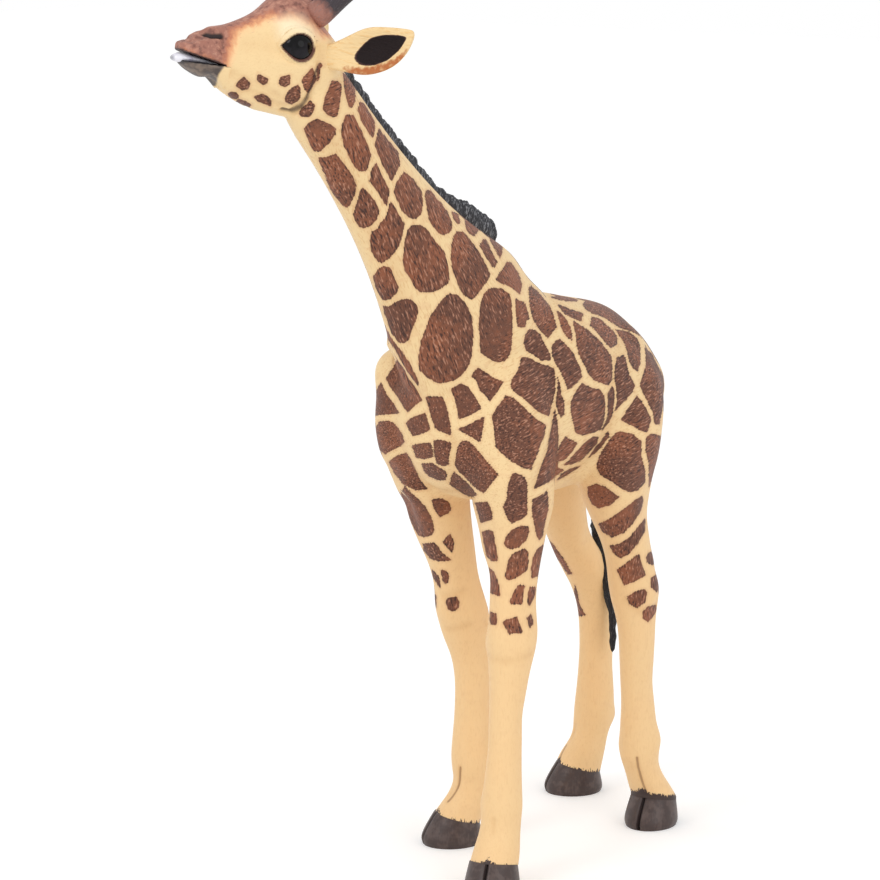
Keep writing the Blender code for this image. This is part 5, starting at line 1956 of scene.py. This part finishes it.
def coat(name, fray=0.6, flecks_and_shade=0.34):
    """The coat's paint, colour and relief; fray roughens the patches' edges, and the last number mottles the cream
    with specks and sets the painted shade in the hairs' furrows.
    """
    paint = Paint(name, 0.52, Specular_IOR_Level=0.35)
    on_neck, on_leg, wash = paint.kept("on_neck"), paint.kept("on_leg"), paint.kept("wash")
    strokes = paint.hair(104, 0.40, 2.0)
    for weight, lean in ((on_neck, NECK_LEAN - 18), (on_leg, 0)):
        strokes = strokes + (paint.hair(lean, 0.40, 2.0) - strokes) * weight
    brushed = paint.noise(1.3)
    cloud = paint.noise(14)
    edge = paint.kept("patch") - 0.12 + (brushed - 0.5) * 0.3 + (strokes - 0.5) * fray
    brown = paint.rise(edge, 0.10, -0.10)
    rim = brown * paint.rise(edge, -0.6, -0.1)
    stroke = paint.rise(strokes, 0.57, 0.70) * (1 - rim * 0.7)
    furrow = paint.rise(strokes, 0.44, 0.34)
    warm = paint.kept("warm") * 0.7 + (cloud - 0.5) * 0.5
    cream = paint.blend(CREAM, WARM_CREAM, paint.rise(warm, 0.0, 1.0))
    cream = paint.blend(cream, TAN_EDGE, paint.rise(edge, 0.75, 0.05) * 0.5)
    cream = paint.blend(cream, TAN_EDGE, paint.rise(paint.noise(1.8, 4.0), 0.5, 0.7) * (1 - on_leg * 0.6) * flecks_and_shade)
    # Painted shade: the furrows between the hairs and the grooves take the shaded cream
    cream = paint.blend(cream, SHADED_CREAM, furrow * (1 - on_leg * 0.7) * flecks_and_shade + wash * 0.5)
    patch = paint.blend(BROWN, RED_BROWN, paint.rise(cloud + (brushed - 0.5) * 0.4, 0.35, 0.65))
    # The brown is darkest at its rim and in its dark strokes, and painted shade darkens its grooves
    patch = paint.blend(patch, DARK_BROWN, paint.rise(rim * 0.3 + furrow * 0.85 + wash * 0.4, 0.0, 1.0))
    patch = paint.blend(patch, PALE_STROKE, stroke * 0.6)
    colour = paint.blend(cream, patch, brown)
    # More painted shade in the deepest grooves
    colour = paint.blend(colour, CREASE_SHADE_BROWN, paint.rise(wash, 0.55, 1.0) * 0.5)
    horn = paint.rise(paint.kept("hoof_line") + (strokes - 0.5) * 3.0, 8.1, 8.5)
    colour = paint.blend(colour, HOOF_BROWN, horn)
    height = strokes * (0.35 + brown * 0.65 - on_leg * 0.25) - brown * 0.2 + paint.noise(0.5) * 0.15
    return paint, colour, height


paint, colour, height = coat("coat")
coat_paint = paint.finish(colour, height, 0.4)


# %% Face
def grey_chin(paint, colour):
    """Lays the chin's smeared grey on a colour."""
    smear = paint.noise(2.2, 3.0)
    grey = paint.blend(tone(126, 110, 98), tone(80, 70, 66), paint.rise(smear, 0.38, 0.62))
    return paint.blend(colour, grey, paint.rise(paint.kept("chin") + (smear - 0.5) * 0.3, 0.3, 0.8)), smear


paint, colour, height = coat("face_coat", 0.25, 0.1)
smudge = (paint.noise(3.5, 3.0) - 0.5) * 0.5 + (paint.hair(20, 0.9, 5.0, 2.0, -HEAD_YAW) - 0.5) * 0.45
face_share = paint.kept("face") + smudge * paint.rise(paint.kept("face"), 0.0, 0.3)
face_tone = paint.ramp(
    face_share,
    (0.0, tone(242, 209, 158)),
    (0.20, tone(244, 204, 152)),
    (0.42, tone(230, 166, 120)),
    (0.62, tone(192, 124, 94)),
    (0.82, tone(166, 111, 94)),
    (1.0, tone(163, 111, 95)),
)
face_hair = paint.hair(95, 0.45, 1.6, 2.0, -HEAD_YAW)
face_tone = paint.blend(face_tone, tone(196, 150, 128), paint.rise(face_hair, 0.6, 0.72) * 0.4)
blotch = paint.noise(1.4, 3.0)
dark_blotch = paint.rise(blotch, 0.53, 0.66) * paint.rise(face_share, 0.6, 0.9) * 0.6
pale_blotch = paint.rise(blotch, 0.50, 0.36) * paint.rise(face_share, 0.5, 0.9) * 0.28
face_tone = paint.blend(face_tone, tone(98, 60, 54), dark_blotch)
face_tone = paint.blend(face_tone, tone(232, 174, 148), pale_blotch)
colour = paint.blend(colour, face_tone, paint.rise(face_share, 0.02, 0.2))
# The painted highlight on the brows
colour = paint.blend(colour, tone(252, 238, 204), paint.kept("pale") * 0.8)
for mark, tint in (("lid", tone(98, 60, 48)), ("slit", tone(12, 10, 11)), ("mouth", tone(66, 44, 42))):
    colour = paint.blend(colour, tint, paint.kept(mark))
colour = grey_chin(paint, colour)[0]
# Painted shade in the face's grooves and nostrils
colour = paint.blend(colour, tone(40, 26, 26), paint.rise(paint.kept("wash"), 0.42, 0.85))
face_paint = paint.finish(colour, height + face_hair * 0.3, 0.22)

# %% Jaw
paint, colour, height = coat("jaw_coat", 0.25, 0.1)
colour, smear = grey_chin(paint, colour)
colour = paint.blend(colour, tone(46, 42, 44), paint.kept("mouth"))
jaw_paint = paint.finish(colour, smear * 0.6 + paint.hair(95, 0.4, 1.4, 2.0, -HEAD_YAW) * 0.5, 0.2)
print("coat paints:", coat_paint.name, face_paint.name, jaw_paint.name)

# %% [markdown]
# ## Eyes, tongue, horns, mane and hooves
#
# Small parts get their own paints: gloss black eyes, a wet pale tongue, horns that turn from brown to
# charcoal, a charcoal mane with pale worn hair tips, and grey-brown hooves with faint growth rings.

# %% Small parts' paints
paint = Paint("eye_gloss", 0.1, Specular_IOR_Level=0.16)
eye_paint = paint.finish(paint.blend(tone(10, 9, 10), tone(28, 25, 30), paint.rise(paint.noise(3.0), 0.5, 0.7)))

paint = Paint("tongue", 0.3, Coat_Weight=0.4, Coat_Roughness=0.15)
pores = paint.noise(0.45, 3.0)
tongue_colour = paint.blend(tone(238, 236, 244), tone(200, 196, 216), paint.rise(paint.noise(2.5), 0.45, 0.7))
tongue_paint = paint.finish(paint.blend(tongue_colour, tone(150, 148, 156), paint.kept("tip")), pores, 0.05)


def bristles(name, dark, pale, lean, wear):
    """Paint for a strip of coarse hair, with worn tips."""
    paint = Paint(name, 0.62, Specular_IOR_Level=0.3)
    coarse, fine = paint.hair(lean, 0.40, 2.0, 2.0), paint.hair(lean, 0.20, 1.0, 1.0)
    tips = paint.rise(coarse * 0.6 + fine * 0.4, 0.52, 0.68)
    return paint.finish(paint.blend(dark, pale, tips * wear), coarse + fine * 0.5, 0.4)


mane_paint = bristles("mane_bristles", tone(62, 62, 66), tone(165, 166, 171), NECK_LEAN - 62, 0.85)
tuft_paint = bristles("tuft_bristles", tone(30, 29, 32), tone(84, 82, 86), 0, 0.6)
tail_paint = bristles("tail_hair", tone(196, 152, 104), tone(238, 208, 158), 6, 0.9)

paint = Paint("horn", 0.55, Specular_IOR_Level=0.35)
up_horn = paint.kept("up_horn") + (paint.noise(1.6) - 0.5) * 0.35
fuzz = paint.hair(-45, 0.4, 1.8, 2.0, -HEAD_YAW)
horn_tone = paint.ramp(
    up_horn,
    (0.0, tone(160, 110, 96)),
    (0.06, tone(144, 98, 86)),
    (0.20, tone(62, 54, 58)),
    (1.0, tone(44, 43, 48)),
)
horn_tone = paint.blend(horn_tone, tone(120, 112, 114), paint.rise(fuzz, 0.58, 0.7) * 0.35)
horn_paint = paint.finish(horn_tone, fuzz + paint.noise(0.6) * 0.4, 0.3)

paint = Paint("hoof", 0.4, Specular_IOR_Level=0.4)
growth = paint.node("SeparateXYZ", None, {0: paint.place}, "Z")
rings = paint.math("SINE", growth * (2 * math.pi / (1.1 * MM)) + paint.noise(5) * 6)
streak = paint.hair(0, 0.5, 2.4, 2.0)
worn = paint.rise(streak * 0.25 + paint.noise(2.5) * 0.75, 0.44, 0.62)
hoof_tone = paint.blend(tone(68, 54, 51), tone(86, 71, 67), worn)
hoof_tone = paint.blend(hoof_tone, tone(36, 28, 28), paint.kept("cleft"))
hoof_paint = paint.finish(hoof_tone, rings * 0.04 + streak * 0.15, 0.2)

paint = Paint("ear", 0.6, Specular_IOR_Level=0.18)
ear_hair = paint.hair(80, 0.5, 2.6, 2.0, -60)
ear_tone = paint.blend(CREAM, tone(232, 180, 112), paint.rise(ear_hair, 0.5, 0.7) * 0.5)
blush = paint.kept("blush") + (paint.noise(1.0) - 0.5) * 1.2
cavity, ragged = paint.kept("cavity"), ear_hair - 0.5
ear_tone = paint.blend(ear_tone, tone(186, 112, 66), paint.rise(blush, 0.4, 1.1))
ear_tone = paint.blend(ear_tone, tone(74, 50, 48), paint.rise(cavity + ragged * 0.5, 0.3, 0.7))
ear_tone = paint.blend(ear_tone, tone(26, 15, 16), paint.rise(cavity + ragged * 0.6, 0.75, 1.1))
ear_paint = paint.finish(ear_tone, ear_hair, 0.3)
print("small paints made")

# %% Paint the pieces
PAINTS = {
    "head": face_paint,
    "lower_jaw": jaw_paint,
    "tongue": tongue_paint,
    "mane": mane_paint,
    "tail": tail_paint,
    "tail_tuft": tuft_paint,
    "eye": eye_paint,
    "ear": ear_paint,
    "ossicone": horn_paint,
    "hoof": hoof_paint,
}
for name, piece in pieces.items():
    kinds = [kind for kind in (name, name.split("_")[0], name.split("_")[-1]) if kind in PAINTS]
    piece.data.materials.clear()
    piece.data.materials.append(PAINTS[kinds[0]] if kinds else coat_paint)
print("painted pieces:", len(pieces))

# %% [markdown]
# ## Floor, light and background
#
# The figure stands on white with soft light from all round and a faint shadow at its feet. The world gives that
# light and looks white to the camera. The floor glows by the little that it lacks to white, so it has no horizon.

# %% Stage
# The light of the surroundings, and the floor's grey: the floor glows by what it lacks to look white
AMBIENT, FLOOR_TONE = 0.86, 0.9


def in_view(net):
    """1 where the camera sees something itself, in a mirror or through glass."""
    rays = [net.node("LightPath", out="Is " + ray + " Ray") for ray in ("Camera", "Glossy", "Transmission")]
    return net.math("MAXIMUM", net.math("MAXIMUM", *rays[:2]), rays[2])


shape = bmesh.new()
bmesh.ops.create_grid(shape, x_segments=1, y_segments=1, size=3.0)
floor = new_object("floor", shape)
floor_paint = Paint("floor_paint", 0.9, Base_Color=(FLOOR_TONE, FLOOR_TONE, FLOOR_TONE, 1))
strength = in_view(floor_paint) * (1 - AMBIENT * FLOOR_TONE)
glow = floor_paint.node("Emission", None, {"Color": (1, 1, 1, 1), "Strength": strength})
lit = Wire(floor_paint, floor_paint.shader.outputs[0])
both = floor_paint.node("AddShader", None, {0: lit, 1: glow})
floor_paint.feed(floor_paint.tree.nodes["Material Output"].inputs["Surface"], both)
floor.data.materials.append(floor_paint.material)
print("the floor's own glow:", round(1 - AMBIENT * FLOOR_TONE, 3))

# %% Lamps
AIM = Vector((0, 0, 0.12))
# Name, place, size and power
LAMPS = (("key", (-0.15, -0.95, 0.75), 0.45, 2.2), ("fill", (0.95, -0.25, 0.45), 0.7, 1.6))
for name, place, size, power in LAMPS:
    light = bpy.data.lights.new(name, "AREA")
    light.shape, light.size, light.energy = "DISK", size, power
    lamp = in_scene(name, light)
    lamp.location = place
    lamp.rotation_euler = (AIM - Vector(place)).to_track_quat("-Z", "Y").to_euler()
print("lamps:", len(LAMPS))

# %% World
world = bpy.data.worlds.new("studio")
bpy.context.scene.world = world
world.use_nodes = True
sky = Net(world.node_tree)
back = sky.tree.nodes["Background"]
sky.feed(back.inputs["Color"], (1, 1, 1, 1))
strength = sky.node("MapRange", None, {"Value": in_view(sky), "To Min": AMBIENT, "To Max": 1.0})
sky.feed(back.inputs["Strength"], strength)
bpy.context.scene.view_settings.view_transform = "Standard"
print("light of the surroundings:", AMBIENT)
